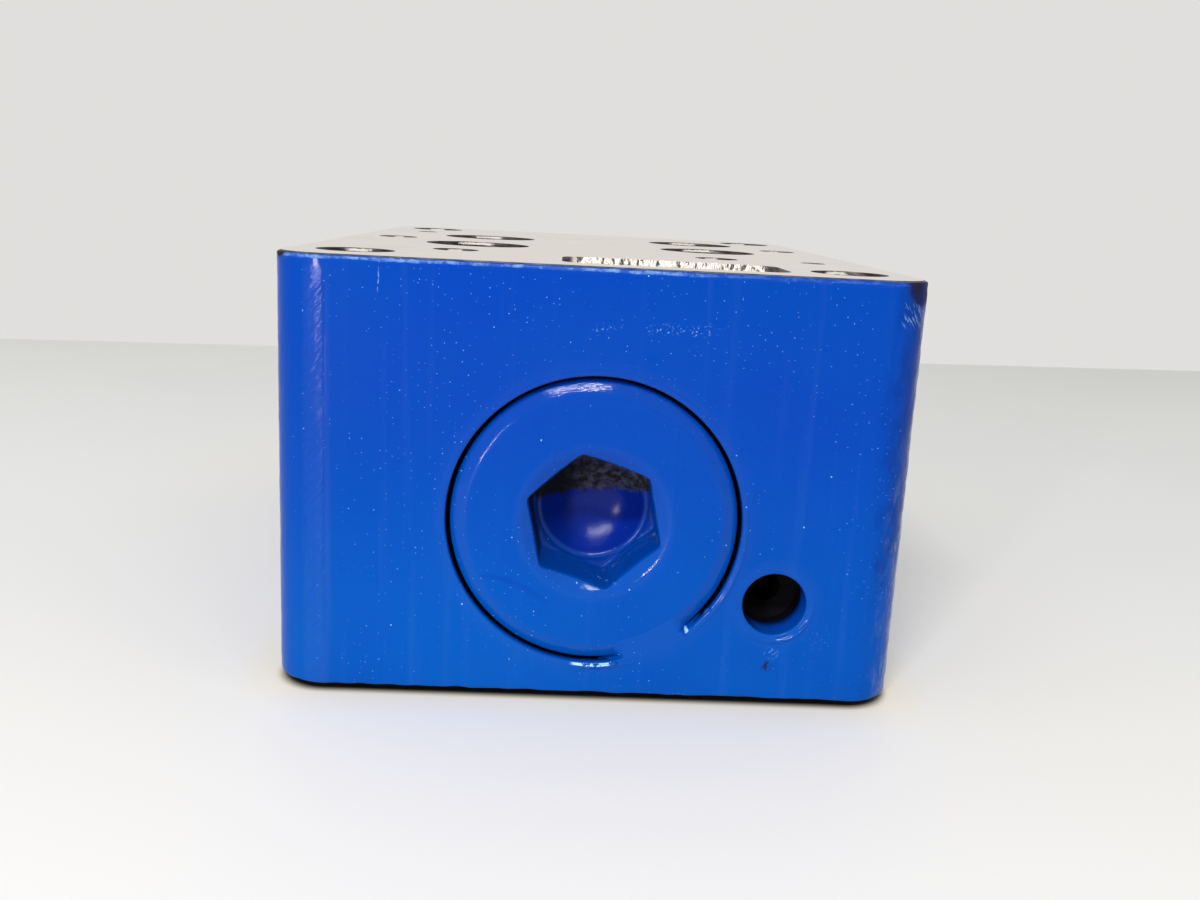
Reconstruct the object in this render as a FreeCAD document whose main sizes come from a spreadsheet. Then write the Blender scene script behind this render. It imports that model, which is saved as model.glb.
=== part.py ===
import FreeCAD, Part
import math
import os

import Sketcher

# A sandwich plate pressure compensating valve of size 16, with the ISO 4401-07 hole pattern.
# X runs to the right and Y away from someone who faces the screw plug, and Z is up.
# The origin is the middle of the lower mounting face. All lengths are in millimetres.

# Driving dimensions: name, value, and what it is.
SIZES = [
    ("body_width", 88.5, "casting across, along X"),
    ("body_length", 126, "casting along the spool, along Y"),
    ("body_height", 60, "between the two ground mounting faces"),
    ("corner_radius", 7, "cast radius on the upright corners"),
    ("base_edge", 1, "broken edge round the lower outline"),
    ("ground_edge", 0.4, "chamfer that grinding leaves round the upper face"),
    ("bolt_spacing_x", 69.9, "bolt holes across"),
    ("bolt_spacing_y", 101.6, "bolt holes along"),
    ("bolt_hole_dia", 11, "clearance for the four large bolts"),
    ("small_bolt_x", 36.55, "small bolt holes, from the middle"),
    ("small_bolt_right_y", 16.7, "small bolt hole on the right"),
    ("small_bolt_left_y", 0.8, "small bolt hole on the left"),
    ("small_bolt_dia", 7, "clearance for the two small bolts"),
    ("pin_hole_dia", 4, "locating pin holes in the upper face"),
    ("pin_hole_depth", 6, "locating pin holes"),
    ("pin_right_y", -25.8, "locating pin hole on the right"),
    ("pin_left_y", 32.5, "locating pin hole on the left"),
    ("port_dia", 17.5, "ports P, T, A and B at the faces"),
    ("port_column", 20.65, "ports P, T, A and B, from the middle"),
    ("port_p_y", 0.8, "port P"),
    ("port_t_y", 32.5, "port T"),
    ("port_a_y", 16.7, "port A"),
    ("port_b_y", -15.1, "port B"),
    ("mouth_depth", 8, "drilled length of a port before its cored part"),
    ("channel_shift", 3.5, "how far a cored through channel stands outwards of its mouths"),
    ("channel_half_width", 6, "cored through channel, along X"),
    ("channel_half_length", 9.25, "cored through channel, along Y"),
    ("pilot_dia", 7, "pilot ports X and Y"),
    ("pilot_x_across", 19.05, "pilot port X, to the right"),
    ("pilot_x_along", -25.8, "pilot port X"),
    ("pilot_y_across", -22.25, "pilot port Y, to the left"),
    ("pilot_y_along", -37.3, "pilot port Y"),
    ("seal_depth", 2, "counterbores for the port seals"),
    ("port_seal_dia", 27.2, "counterbore round ports P, T, A and B"),
    ("port_seal_width", 2.8, "section of a squeezed port seal"),
    ("pilot_seal_dia", 13.8, "counterbore round ports X and Y"),
    ("pilot_seal_width", 2.3, "section of a squeezed pilot seal"),
    ("seal_clearance", 0.1, "between a seal and the wall round it"),
    ("pocket_length", 32, "milled pocket in the upper face, along X"),
    ("pocket_width", 16, "milled pocket, along Y"),
    ("pocket_depth", 3, "milled pocket"),
    ("pocket_radius", 3, "milled pocket, inner corners"),
    ("pocket_centre_x", 10, "milled pocket, from the middle"),
    ("pocket_inset", 6.2, "milled pocket, from the front face"),
    ("bore_height", 25, "spool axis above the lower face"),
    ("spool_bore_dia", 20, "bore that the spool slides in"),
    ("spool_clearance", 0.02, "running clearance of the spool, on the radius"),
    ("chamber_dia", 26, "cored chambers round the spool"),
    ("inlet_start", -16.4, "inlet chamber, front wall"),
    ("inlet_end", -4.4, "inlet chamber, rear wall and metering edge"),
    ("outlet_start", 0, "outlet chamber, front wall"),
    ("outlet_end", 10, "outlet chamber, rear wall"),
    ("front_chamber_length", 4, "pressure chamber behind the front plug"),
    ("spring_chamber_dia", 24, "bore round the spring"),
    ("spring_chamber_start", 22, "bore round the spring, front wall"),
    ("collar_dia", 40, "screw plug collar"),
    ("collar_gap", 0.5, "ring gap round the collar"),
    ("collar_depth", 8, "screw plug collar, flush with the casting"),
    ("collar_chamfer", 1.2, "outer edge of the collar"),
    ("thread_dia", 33, "screw plug thread"),
    ("thread_clearance", 0.05, "between a thread and its hole, on the radius"),
    ("thread_length", 18, "screw plug thread"),
    ("thread_relief_dia", 30.4, "undercut under the collar"),
    ("thread_relief_width", 3, "undercut under the collar"),
    ("thread_chamfer", 1.5, "lead-in at the end of the thread"),
    ("socket_flats", 17, "hexagon socket across flats"),
    ("socket_depth", 10, "hexagon socket, flat sides"),
    ("socket_mouth_dia", 20.8, "countersink at the mouth of the socket"),
    ("rear_socket_turn", 15, "degrees that the rear hexagon stands turned by"),
    ("socket_floor", 4, "drilled cone below the flats"),
    ("socket_ledge", 0.4, "ledge round the drilled cone, from the middle of a flat"),
    ("front_socket_turn", 42, "degrees that the front hexagon stands turned by"),
    ("recess_dia", 22, "spring recess inside the rear plug"),
    ("recess_depth", 10, "spring recess inside the rear plug"),
    ("collar_seal_dia", 34, "inner diameter of the collar seal"),
    ("collar_seal_width", 2, "collar seal"),
    ("nose_dia", 12, "spool nose that rests on the front plug"),
    ("nose_length", 2.5, "spool nose"),
    ("neck_dia", 12, "spool neck between its lands"),
    ("opening", 5, "how far the metering edge stands open at rest"),
    ("overlap", 0.5, "how far the land passes the metering edge when shut"),
    ("rear_land_gap", 1, "rear land behind the outlet chamber"),
    ("rear_land_tail", 2, "rear land inside the spring chamber"),
    ("spring_pocket_dia", 15, "pocket in the rear land"),
    ("spring_pocket_depth", 8, "pocket in the rear land"),
    ("groove_width", 0.8, "balance grooves on the lands"),
    ("groove_depth", 0.5, "balance grooves"),
    ("groove_pitch", 4, "balance grooves"),
    ("notch_dia", 4, "metering notches in the front land"),
    ("notch_length", 3, "metering notches"),
    ("spool_drilling", 4, "axial drilling in the spool"),
    ("cross_drilling_dia", 3.4, "cross drilling in the spool"),
    ("cross_drilling_y", 4, "cross drilling, inside the outlet chamber"),
    ("nose_slot_width", 2.5, "slot across the spool nose"),
    ("nose_slot_depth", 1.5, "slot across the spool nose"),
    ("orifice_screw_dia", 6, "damping orifice screw"),
    ("orifice_screw_length", 6, "damping orifice screw"),
    ("orifice_dia", 1.2, "damping orifice"),
    ("orifice_socket", 3, "hexagon socket of the orifice screw"),
    ("orifice_socket_depth", 2.5, "hexagon socket of the orifice screw"),
    ("shim_thickness", 1, "preload shim"),
    ("shim_bore", 10, "preload shim"),
    ("plate_clearance", 0.5, "spring plate and shim in the recess, on the radius"),
    ("plate_thickness", 3, "spring plate flange"),
    ("stem_dia", 7, "stem of the spring plate, which stops the spool"),
    ("wire_dia", 2, "compression spring"),
    ("coil_dia", 11.8, "compression spring, mean diameter"),
    ("spring_turns", 7, "compression spring, closed ends included"),
    ("shuttle_x", -22, "shuttle bore"),
    ("shuttle_z", 44, "shuttle bore"),
    ("shuttle_plug_dia", 10, "screw plug of the shuttle bore"),
    ("shuttle_plug_length", 9, "screw plug of the shuttle bore"),
    ("shuttle_plug_socket", 5, "its hexagon socket across flats"),
    ("shuttle_plug_socket_depth", 5, "its hexagon socket"),
    ("shuttle_access_dia", 8.4, "shuttle bore up to its cage"),
    ("cage_dia", 8, "shuttle cage and seat"),
    ("cage_start", -5, "front end of the cage"),
    ("cage_length", 7.3, "shuttle cage"),
    ("seat_length", 4.2, "shuttle seat"),
    ("press_clearance", 0.01, "between pressed pieces in the model"),
    ("shuttle_passage", 3.4, "passage through the cage and the seat"),
    ("ball_dia", 5, "shuttle ball"),
    ("ball_guide_dia", 5.3, "guide bore for the ball"),
    ("ball_stroke", 1.2, "shuttle ball, from seat to seat"),
    ("ball_clearance", 0.1, "between the ball and a seat that it shuts, in the model"),
    ("cage_groove_dia", 6.6, "ring groove round the cage"),
    ("cage_groove_width", 2.4, "ring groove round the cage"),
    ("cage_hole_dia", 2, "cross holes in the cage"),
    ("signal_dia", 3, "slanting drilling from the shuttle to the spring chamber"),
    ("signal_inset", 4, "where that drilling meets the spring chamber"),
    ("tap_x", 25.8, "drilling beside the front plug"),
    ("tap_z", 14.3, "drilling beside the front plug"),
    ("tap_mouth_dia", 9, "its mouth"),
    ("tap_mouth_depth", 7, "its mouth"),
    ("tap_chamfer", 0.6, "edge of its mouth"),
    ("tap_dia", 4.5, "its narrow length"),
    ("tap_end", -1, "where it ends, inside the inlet core"),
    ("tap_ball_y", -46, "ball that closes it"),
    ("outlet_core_lift", 4, "outlet core above the spool axis"),
    ("core_inset", 0.9, "between an elbow core and its chamber's side walls"),
    ("core_step", 0.6, "how far an elbow core stands inside its drilled mouth, on the radius"),
    ("core_overlap", 1, "how far a core reaches into its drilled mouth"),
]

# A length that counts as nothing.
HAIR = 1e-4
# Straight lengths in one turn of the spring, and flat sides round its wire.
LENGTHS_PER_TURN = 12
WIRE_SIDES = 8
# Rise of a closed end turn, in wire diameters.
CLOSED_PITCH = 1.1

doc = FreeCAD.newDocument("pressure_compensator")
sheet = doc.addObject("Spreadsheet::Sheet", "sizes")


class Size:
    """A length with the expression that gives it, so that features follow the sheet."""

    def __init__(self, value, text):
        self.value = value
        self.text = text

    def joined(self, other, sign, value):
        other = as_size(other)
        return Size(value(self.value, other.value), f"({self.text} {sign} {other.text})")

    def __add__(self, other):
        return self.joined(other, "+", lambda a, b: a + b)

    def __sub__(self, other):
        return self.joined(other, "-", lambda a, b: a - b)

    def __mul__(self, other):
        return self.joined(other, "*", lambda a, b: a * b)

    def __truediv__(self, other):
        return self.joined(other, "/", lambda a, b: a / b)

    def __radd__(self, other):
        return as_size(other) + self

    def __rsub__(self, other):
        return as_size(other) - self

    def __rmul__(self, other):
        return as_size(other) * self

    def __neg__(self):
        return Size(-self.value, f"(-1 * {self.text})")


def as_size(number):
    return number if isinstance(number, Size) else Size(float(number), repr(float(number)))


def fill_sheet():
    named = {}
    for row, (name, value, note) in enumerate(SIZES, start=1):
        sheet.set(f"A{row}", name)
        sheet.set(f"B{row}", str(value))
        sheet.set(f"C{row}", note)
        sheet.setAlias(f"B{row}", name)
        named[name] = Size(float(value), f"sizes.{name}")
    doc.recompute()
    return type("Named", (), named)


S = fill_sheet()


def bind(feature, **properties):
    """Ties each property of a feature to its size."""
    for name, size in properties.items():
        feature.setExpression(name, as_size(size).text)
        setattr(feature, name, as_size(size).value)


def new_body(label):
    body = doc.addObject("PartDesign::Body", label)
    body.Label = label
    return body


def new_sketch(body, name, plane="XY_Plane", across=0, lift=0, turn=0):
    """A sketch on one of the body's origin planes, shifted along its X and lifted off it."""
    sketch = body.newObject("Sketcher::SketchObject", name)
    base = next(f for f in body.Origin.OriginFeatures if f.Role == plane)
    sketch.AttachmentSupport = [(base, "")]
    sketch.MapMode = "FlatFace"
    across, lift, turn = as_size(across), as_size(lift), as_size(turn)
    rotation = FreeCAD.Rotation(FreeCAD.Vector(0, 0, 1), turn.value)
    sketch.AttachmentOffset = FreeCAD.Placement(FreeCAD.Vector(across.value, 0, lift.value), rotation)
    sketch.setExpression("AttachmentOffset.Base.x", across.text)
    sketch.setExpression("AttachmentOffset.Base.z", lift.text)
    sketch.setExpression("AttachmentOffset.Rotation.Angle", turn.text)
    return sketch


def hold_point(sketch, geometry, corner, x, y):
    """Fixes one point of a sketch at x and y from its origin."""
    for size, kind, axis in ((as_size(x), "DistanceX", -2), (as_size(y), "DistanceY", -1)):
        if size.value == 0:
            sketch.addConstraint(Sketcher.Constraint("PointOnObject", geometry, corner, axis))
            continue
        ends = (-1, 1, geometry, corner) if size.value > 0 else (geometry, corner, -1, 1)
        size = size if size.value > 0 else -size
        index = sketch.addConstraint(Sketcher.Constraint(kind, *ends, size.value))
        sketch.setExpression(f"Constraints[{index}]", size.text)


def draw_outline(sketch, points):
    """A closed outline of straight lines through points that are held at their sizes."""
    corners = [FreeCAD.Vector(as_size(x).value, as_size(y).value, 0) for x, y in points]
    first = sketch.GeometryCount
    count = len(corners)
    for i in range(count):
        sketch.addGeometry(Part.LineSegment(corners[i], corners[(i + 1) % count]))
    for i in range(count):
        joint = Sketcher.Constraint("Coincident", first + i, 2, first + (i + 1) % count, 1)
        sketch.addConstraint(joint)
        hold_point(sketch, first + i, 1, *points[i])


def draw_circle(sketch, x, y, diameter):
    x, y, diameter = as_size(x), as_size(y), as_size(diameter)
    centre = FreeCAD.Vector(x.value, y.value, 0)
    circle = Part.Circle(centre, FreeCAD.Vector(0, 0, 1), diameter.value / 2)
    geometry = sketch.addGeometry(circle)
    hold_point(sketch, geometry, 3, x, y)
    size = Sketcher.Constraint("Diameter", geometry, diameter.value)
    index = sketch.addConstraint(size)
    sketch.setExpression(f"Constraints[{index}]", diameter.text)


def draw_hexagon(sketch, flats):
    """A regular hexagon about the sketch's origin, with two corners on its X axis."""
    corner = flats / math.sqrt(3)
    half = flats / 2
    draw_outline(sketch, [
        (corner, 0),
        (corner / 2, half),
        (-corner / 2, half),
        (-corner, 0),
        (-corner / 2, -half),
        (corner / 2, -half),
    ])


def volume(body):
    doc.recompute()
    return body.Shape.Volume


def cut_with(body, kind, name, sketch, **settings):
    """Adds a Pocket or Groove, and stops if it takes nothing away."""
    before = volume(body)
    feature = body.newObject(kind, name)
    feature.Profile = sketch
    for key, value in settings.items():
        if isinstance(value, Size):
            bind(feature, **{key: value})
        else:
            setattr(feature, key, value)
    if not volume(body) < before - HAIR:
        raise ValueError(f"{name} cuts nothing from {body.Label}")
    return feature


def pocket(body, name, sketch, depth, from_below=False):
    return cut_with(body, "PartDesign::Pocket", name, sketch, Length=as_size(depth), Reversed=from_below)


def groove(body, name, sketch):
    axis = (sketch, ["V_Axis"])
    return cut_with(body, "PartDesign::Groove", name, sketch, ReferenceAxis=axis, Angle=360.0)


def pad(body, name, sketch, length):
    feature = body.newObject("PartDesign::Pad", name)
    feature.Profile = sketch
    bind(feature, Length=length)
    return feature


def revolve(body, name, points):
    """A turned piece: its half section, as radius and height, spun round the body's Z axis."""
    sketch = new_sketch(body, name + "_section", "XZ_Plane")
    draw_outline(sketch, points)
    feature = body.newObject("PartDesign::Revolution", name)
    feature.Profile = sketch
    feature.ReferenceAxis = (sketch, ["V_Axis"])
    feature.Angle = 360.0
    doc.recompute()
    return feature


def edges_where(shape, test):
    """Names of the edges of a shape that pass a test."""
    return [f"Edge{i}" for i, edge in enumerate(shape.Edges, start=1) if test(edge)]


def dress(body, kind, name, test, **size):
    """A Fillet or Chamfer on the edges of the body that pass a test."""
    doc.recompute()
    tip = body.Tip
    feature = body.newObject(kind, name)
    feature.Base = (tip, edges_where(tip.Shape, test))
    bind(feature, **size)
    doc.recompute()
    return feature


def stand(piece, across, along, up, direction=(0, 0, 1)):
    """Stands a piece at a point, with its own Z axis along a direction."""
    rotation = FreeCAD.Rotation(FreeCAD.Vector(0, 0, 1), FreeCAD.Vector(*direction))
    spot = [as_size(size) for size in (across, along, up)]
    piece.Placement = FreeCAD.Placement(FreeCAD.Vector(*(size.value for size in spot)), rotation)
    for axis, size in zip("xyz", spot):
        piece.setExpression(f"Placement.Base.{axis}", size.text)
    return piece


# Places that several pieces share.
half_width = S.body_width / 2
half_length = S.body_length / 2
bolt_x = S.bolt_spacing_x / 2
bolt_y = S.bolt_spacing_y / 2
collar_floor = half_length - S.collar_depth
plug_length = S.collar_depth + S.thread_length
plug_inner = half_length - plug_length
spool_front = -plug_inner
front_chamber_end = spool_front + S.front_chamber_length
control_edge = S.inlet_end - S.opening
stroke = S.opening + S.overlap
rear_land_start = S.outlet_end + S.rear_land_gap
spool_rear = S.spring_chamber_start + S.rear_land_tail
pocket_floor = spool_rear - S.spring_pocket_depth
recess_floor = plug_inner + S.recess_depth
plate_rear = recess_floor - S.shim_thickness
plate_front = plate_rear - S.plate_thickness
cage_end = S.cage_start + S.cage_length
core_mouth = S.port_dia / 2 - S.core_step
cone_depth = (S.ball_guide_dia - S.shuttle_passage) / 2
# A ball on a 90 degree cone stands this far beyond the cone's narrow end.
ball_stand = S.ball_dia / math.sqrt(2) - S.shuttle_passage / 2
cage_cone = cage_end + cone_depth - 2 * ball_stand - S.ball_stroke
ball_rest = cage_cone + ball_stand + S.ball_clearance
ball_middle = cage_cone + ball_stand + S.ball_stroke / 2


def cast_block():
    """The casting with its outline, bolt holes, ports, bores and counterbores."""
    body = new_body("cast_block")
    outline = new_sketch(body, "outline")
    draw_outline(outline, [
        (half_width, half_length),
        (-half_width, half_length),
        (-half_width, -half_length),
        (half_width, -half_length),
    ])
    pad(body, "casting", outline, S.body_height)
    top = S.body_height.value
    dress(body, "PartDesign::Fillet", "upright_corners", lambda e: is_upright(e, top),
          Radius=S.corner_radius)
    dress(body, "PartDesign::Chamfer", "base_edge", lambda e: e.BoundBox.ZMax < HAIR,
          Size=S.base_edge)
    dress(body, "PartDesign::Chamfer", "ground_edge", lambda e: e.BoundBox.ZMin > top - HAIR,
          Size=S.ground_edge)

    holes = new_sketch(body, "bolt_holes", lift=S.body_height)
    for x, y in ((bolt_x, bolt_y), (-bolt_x, bolt_y), (-bolt_x, -bolt_y), (bolt_x, -bolt_y)):
        draw_circle(holes, x, y, S.bolt_hole_dia)
    draw_circle(holes, S.small_bolt_x, S.small_bolt_right_y, S.small_bolt_dia)
    draw_circle(holes, -S.small_bolt_x, S.small_bolt_left_y, S.small_bolt_dia)
    draw_circle(holes, S.pilot_x_across, S.pilot_x_along, S.pilot_dia)
    draw_circle(holes, S.pilot_y_across, S.pilot_y_along, S.pilot_dia)
    pocket(body, "through_holes", holes, S.body_height)

    pins = new_sketch(body, "pin_holes", lift=S.body_height)
    draw_circle(pins, bolt_x, S.pin_right_y, S.pin_hole_dia)
    draw_circle(pins, -bolt_x, S.pin_left_y, S.pin_hole_dia)
    pocket(body, "locating_pin_holes", pins, S.pin_hole_depth)

    upper = new_sketch(body, "upper_ports", lift=S.body_height)
    lower = new_sketch(body, "lower_ports")
    seats = new_sketch(body, "port_seal_seats")
    for x, y in port_places().values():
        draw_circle(upper, x, y, S.port_dia)
        draw_circle(lower, x, y, S.port_dia)
        draw_circle(seats, x, y, S.port_seal_dia)
    pocket(body, "upper_port_mouths", upper, S.mouth_depth)
    pocket(body, "lower_port_mouths", lower, S.mouth_depth, from_below=True)
    for x, y in pilot_places().values():
        draw_circle(seats, x, y, S.pilot_seal_dia)
    pocket(body, "seal_counterbores", seats, S.seal_depth, from_below=True)

    relief = new_sketch(body, "pocket_outline", lift=S.body_height)
    near = S.pocket_inset - half_length
    left = S.pocket_centre_x - S.pocket_length / 2
    draw_outline(relief, [
        (left, near),
        (left + S.pocket_length, near),
        (left + S.pocket_length, near + S.pocket_width),
        (left, near + S.pocket_width),
    ])
    pocket(body, "milled_pocket", relief, S.pocket_depth)
    dress(body, "PartDesign::Fillet", "pocket_corners", lambda e: is_upright(e, S.pocket_depth.value),
          Radius=S.pocket_radius)

    main_bore(body)
    shuttle_bore(body)
    tap = new_sketch(body, "tap_section", across=S.tap_x, lift=S.tap_z)
    mouth_end = S.tap_mouth_depth - half_length
    draw_outline(tap, [
        (0, -half_length),
        (S.tap_mouth_dia / 2 + S.tap_chamfer, -half_length),
        (S.tap_mouth_dia / 2, S.tap_chamfer - half_length),
        (S.tap_mouth_dia / 2, mouth_end),
        (S.tap_dia / 2, mouth_end + (S.tap_mouth_dia - S.tap_dia) / 4),
        (S.tap_dia / 2, S.tap_end),
        (0, S.tap_end),
    ])
    groove(body, "tap_drilling", tap)
    return body


def is_upright(edge, length):
    """Whether an edge stands upright, is straight and is this long."""
    box = edge.BoundBox
    return abs(box.ZLength - length) < HAIR and box.XLength < HAIR and box.YLength < HAIR


def port_places():
    return {
        "p": (S.port_column, S.port_p_y),
        "t": (S.port_column, S.port_t_y),
        "a": (-S.port_column, S.port_a_y),
        "b": (-S.port_column, S.port_b_y),
    }


def pilot_places():
    return {
        "x": (S.pilot_x_across, S.pilot_x_along),
        "y": (S.pilot_y_across, S.pilot_y_along),
    }


def chamber(start, end):
    """The side walls and the outer wall of a chamber round the spool bore."""
    inner, outer = S.spool_bore_dia / 2, S.chamber_dia / 2
    return [(inner, start), (outer, start), (outer, end), (inner, end)]


def main_bore(body):
    """The spool bore from end to end, with its chambers and both plug seats."""
    section = new_sketch(body, "main_bore_section", lift=S.bore_height)
    counterbore = S.collar_dia / 2 + S.collar_gap
    thread = S.thread_dia / 2
    inner = S.spool_bore_dia / 2
    draw_outline(section, [
        (0, -half_length),
        (counterbore, -half_length),
        (counterbore, -collar_floor),
        (thread, -collar_floor),
        (thread, spool_front),
        (S.chamber_dia / 2, spool_front),
        (S.chamber_dia / 2, front_chamber_end),
        (inner, front_chamber_end),
        *chamber(S.inlet_start, S.inlet_end),
        *chamber(S.outlet_start, S.outlet_end),
        (inner, S.spring_chamber_start),
        (S.spring_chamber_dia / 2, S.spring_chamber_start),
        (S.spring_chamber_dia / 2, plug_inner),
        (thread, plug_inner),
        (thread, collar_floor),
        (counterbore, collar_floor),
        (counterbore, half_length),
        (0, half_length),
    ])
    groove(body, "main_bore", section)


def shuttle_bore(body):
    """The bore that the shuttle valve goes into, from the rear face through channel A."""
    section = new_sketch(body, "shuttle_bore_section", across=S.shuttle_x, lift=S.shuttle_z)
    plug_end = half_length - S.shuttle_plug_length
    seat_end = cage_end + S.seat_length
    passage_end = S.cage_start - S.channel_half_length
    draw_outline(section, [
        (0, half_length),
        (S.shuttle_plug_dia / 2, half_length),
        (S.shuttle_plug_dia / 2, plug_end),
        (S.shuttle_access_dia / 2, plug_end),
        (S.shuttle_access_dia / 2, seat_end),
        (S.cage_dia / 2, seat_end),
        (S.cage_dia / 2, S.cage_start),
        (S.shuttle_passage / 2, S.cage_start),
        (S.shuttle_passage / 2, passage_end),
        (0, passage_end),
    ])
    groove(body, "shuttle_bore", section)


def through_channel(name, x, y, side):
    """Core of channel T, A or B: a slot that stands outwards of its two mouths to clear the spool."""
    low = S.mouth_depth - S.core_overlap
    height = S.body_height - 2 * low
    middle = x + side * S.channel_shift
    width = S.channel_half_width
    straight = S.channel_half_length - width
    slab = doc.addObject("Part::Box", name + "_middle")
    bind(slab, Length=2 * width, Width=2 * straight, Height=height)
    tools = [stand(slab, middle - width, y - straight, low)]
    for end, offset in (("front", -straight), ("rear", straight)):
        round_end = doc.addObject("Part::Cylinder", f"{name}_{end}")
        bind(round_end, Radius=width, Height=height)
        tools.append(stand(round_end, middle, y + offset, low))
    return tools


def elbow(name, start_z, end_z, chamber_middle, chamber_half):
    """The cored passage that narrows from a mouth of port P to a chamber round the spool."""
    start = (S.port_column, S.port_p_y, start_z)
    end = (S.chamber_dia / 2, chamber_middle, end_z)
    run = [b - a for a, b in zip(start, end)]
    taper = doc.addObject("Part::Cone", name)
    bind(taper, Radius1=core_mouth, Radius2=chamber_half - S.core_inset)
    squares = " + ".join(f"{size.text} * {size.text}" for size in run)
    bind(taper, Height=Size(math.hypot(*(size.value for size in run)), f"sqrt({squares})"))
    return stand(taper, *start, [size.value for size in run])


def signal_drilling():
    """The slanting drilling that brings the higher load pressure to the spring."""
    start = FreeCAD.Vector(S.shuttle_x.value, ball_middle.value, S.shuttle_z.value)
    axis_point = FreeCAD.Vector(0, S.spring_chamber_start.value + S.signal_inset.value, S.bore_height.value)
    sideways = FreeCAD.Vector(start.x, 0, start.z - axis_point.z)
    sideways.normalize()
    exit_point = axis_point + sideways * (S.spring_chamber_dia.value / 2 - S.signal_dia.value / 2)
    drilling = doc.addObject("Part::Cylinder", "signal_drilling")
    bind(drilling, Radius=S.signal_dia / 2)
    drilling.Height = (exit_point - start).Length
    return stand(drilling, S.shuttle_x, ball_middle, S.shuttle_z, exit_point - start)


def valve_body():
    """The machined casting less its cores and the slanting drilling."""
    block = cast_block()
    inlet_middle = (S.inlet_start + S.inlet_end) / 2
    inlet_half = (S.inlet_end - S.inlet_start) / 2
    outlet_middle = (S.outlet_start + S.outlet_end) / 2
    outlet_half = (S.outlet_end - S.outlet_start) / 2
    low = S.mouth_depth - S.core_overlap
    high = S.body_height - low
    outlet_z = S.bore_height + S.outlet_core_lift
    tools = [
        *through_channel("core_t", S.port_column, S.port_t_y, 1),
        *through_channel("core_a", -S.port_column, S.port_a_y, -1),
        *through_channel("core_b", -S.port_column, S.port_b_y, -1),
        elbow("core_inlet", low, S.bore_height, inlet_middle, inlet_half),
        elbow("core_outlet", high, outlet_z, outlet_middle, outlet_half),
        signal_drilling(),
    ]
    cores = doc.addObject("Part::MultiFuse", "cores")
    cores.Shapes = tools
    body = doc.addObject("Part::Cut", "valve_body")
    body.Base = block
    body.Tool = cores
    doc.recompute()
    return body


def screw_plug(label, direction, recess, turn):
    """A flush screw plug. Its local Z axis points out of the casting, from its inner end."""
    body = new_body(label)
    collar, thread = S.collar_dia / 2, S.thread_dia / 2 - S.thread_clearance
    top, under = plug_length, S.thread_length
    seal_in, seal_out = S.collar_seal_dia / 2, S.collar_seal_dia / 2 + S.collar_seal_width
    relief = S.thread_relief_dia / 2
    flat_end = [(0, 0)]
    spring_recess = [(0, S.recess_depth), (S.recess_dia / 2, S.recess_depth), (S.recess_dia / 2, 0)]
    revolve(body, label + "_turning", [
        *(spring_recess if recess else flat_end),
        (thread - S.thread_chamfer, 0),
        (thread, S.thread_chamfer),
        (thread, under - S.thread_relief_width),
        (relief, under - S.thread_relief_width),
        (relief, under),
        (seal_in - S.seal_clearance, under),
        (seal_in - S.seal_clearance, under + S.seal_depth),
        (seal_out + S.seal_clearance, under + S.seal_depth),
        (seal_out + S.seal_clearance, under),
        (collar, under),
        (collar, top),
        (0, top),
    ])
    radius = collar.value
    dress(body, "PartDesign::Chamfer", label + "_edge",
          lambda e: e.BoundBox.ZMin > top.value - HAIR and e.BoundBox.XLength > radius,
          Size=S.collar_chamfer)
    hexagon = new_sketch(body, label + "_hexagon", lift=top, turn=turn)
    draw_hexagon(hexagon, S.socket_flats)
    pocket(body, label + "_socket", hexagon, S.socket_depth)
    drilled = new_sketch(body, label + "_drilled", "XZ_Plane")
    floor = top - S.socket_depth
    mouth = S.socket_mouth_dia / 2
    pilot = S.socket_flats / 2 - S.socket_ledge
    draw_outline(drilled, [
        (0, top),
        (mouth, top),
        (pilot, top - (mouth - pilot)),
        (pilot, floor),
        (0, floor - S.socket_floor),
    ])
    groove(body, label + "_drilling", drilled)
    return stand(body, 0, plug_inner * direction, S.bore_height, (0, direction, 0))


def ring(label, outer, width, height):
    """A squeezed seal ring, standing on its local XY plane."""
    body = new_body(label)
    inner = outer - width
    revolve(body, label + "_turning", [(inner, 0), (outer, 0), (outer, height), (inner, height)])
    return body


def collar_seal(label, direction):
    body = ring(label, S.collar_seal_dia / 2 + S.collar_seal_width, S.collar_seal_width, S.seal_depth)
    return stand(body, 0, collar_floor * direction, S.bore_height, (0, direction, 0))


def port_seal(label, place, diameter, width):
    body = ring(label, diameter / 2 - S.seal_clearance, width, S.seal_depth)
    return stand(body, *place, 0)


def balance_groove(land, start):
    """Points of a narrow ring groove cut into a land."""
    bottom, end = land - S.groove_depth, start + S.groove_width
    return [(land, start), (bottom, start), (bottom, end), (land, end)]


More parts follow.
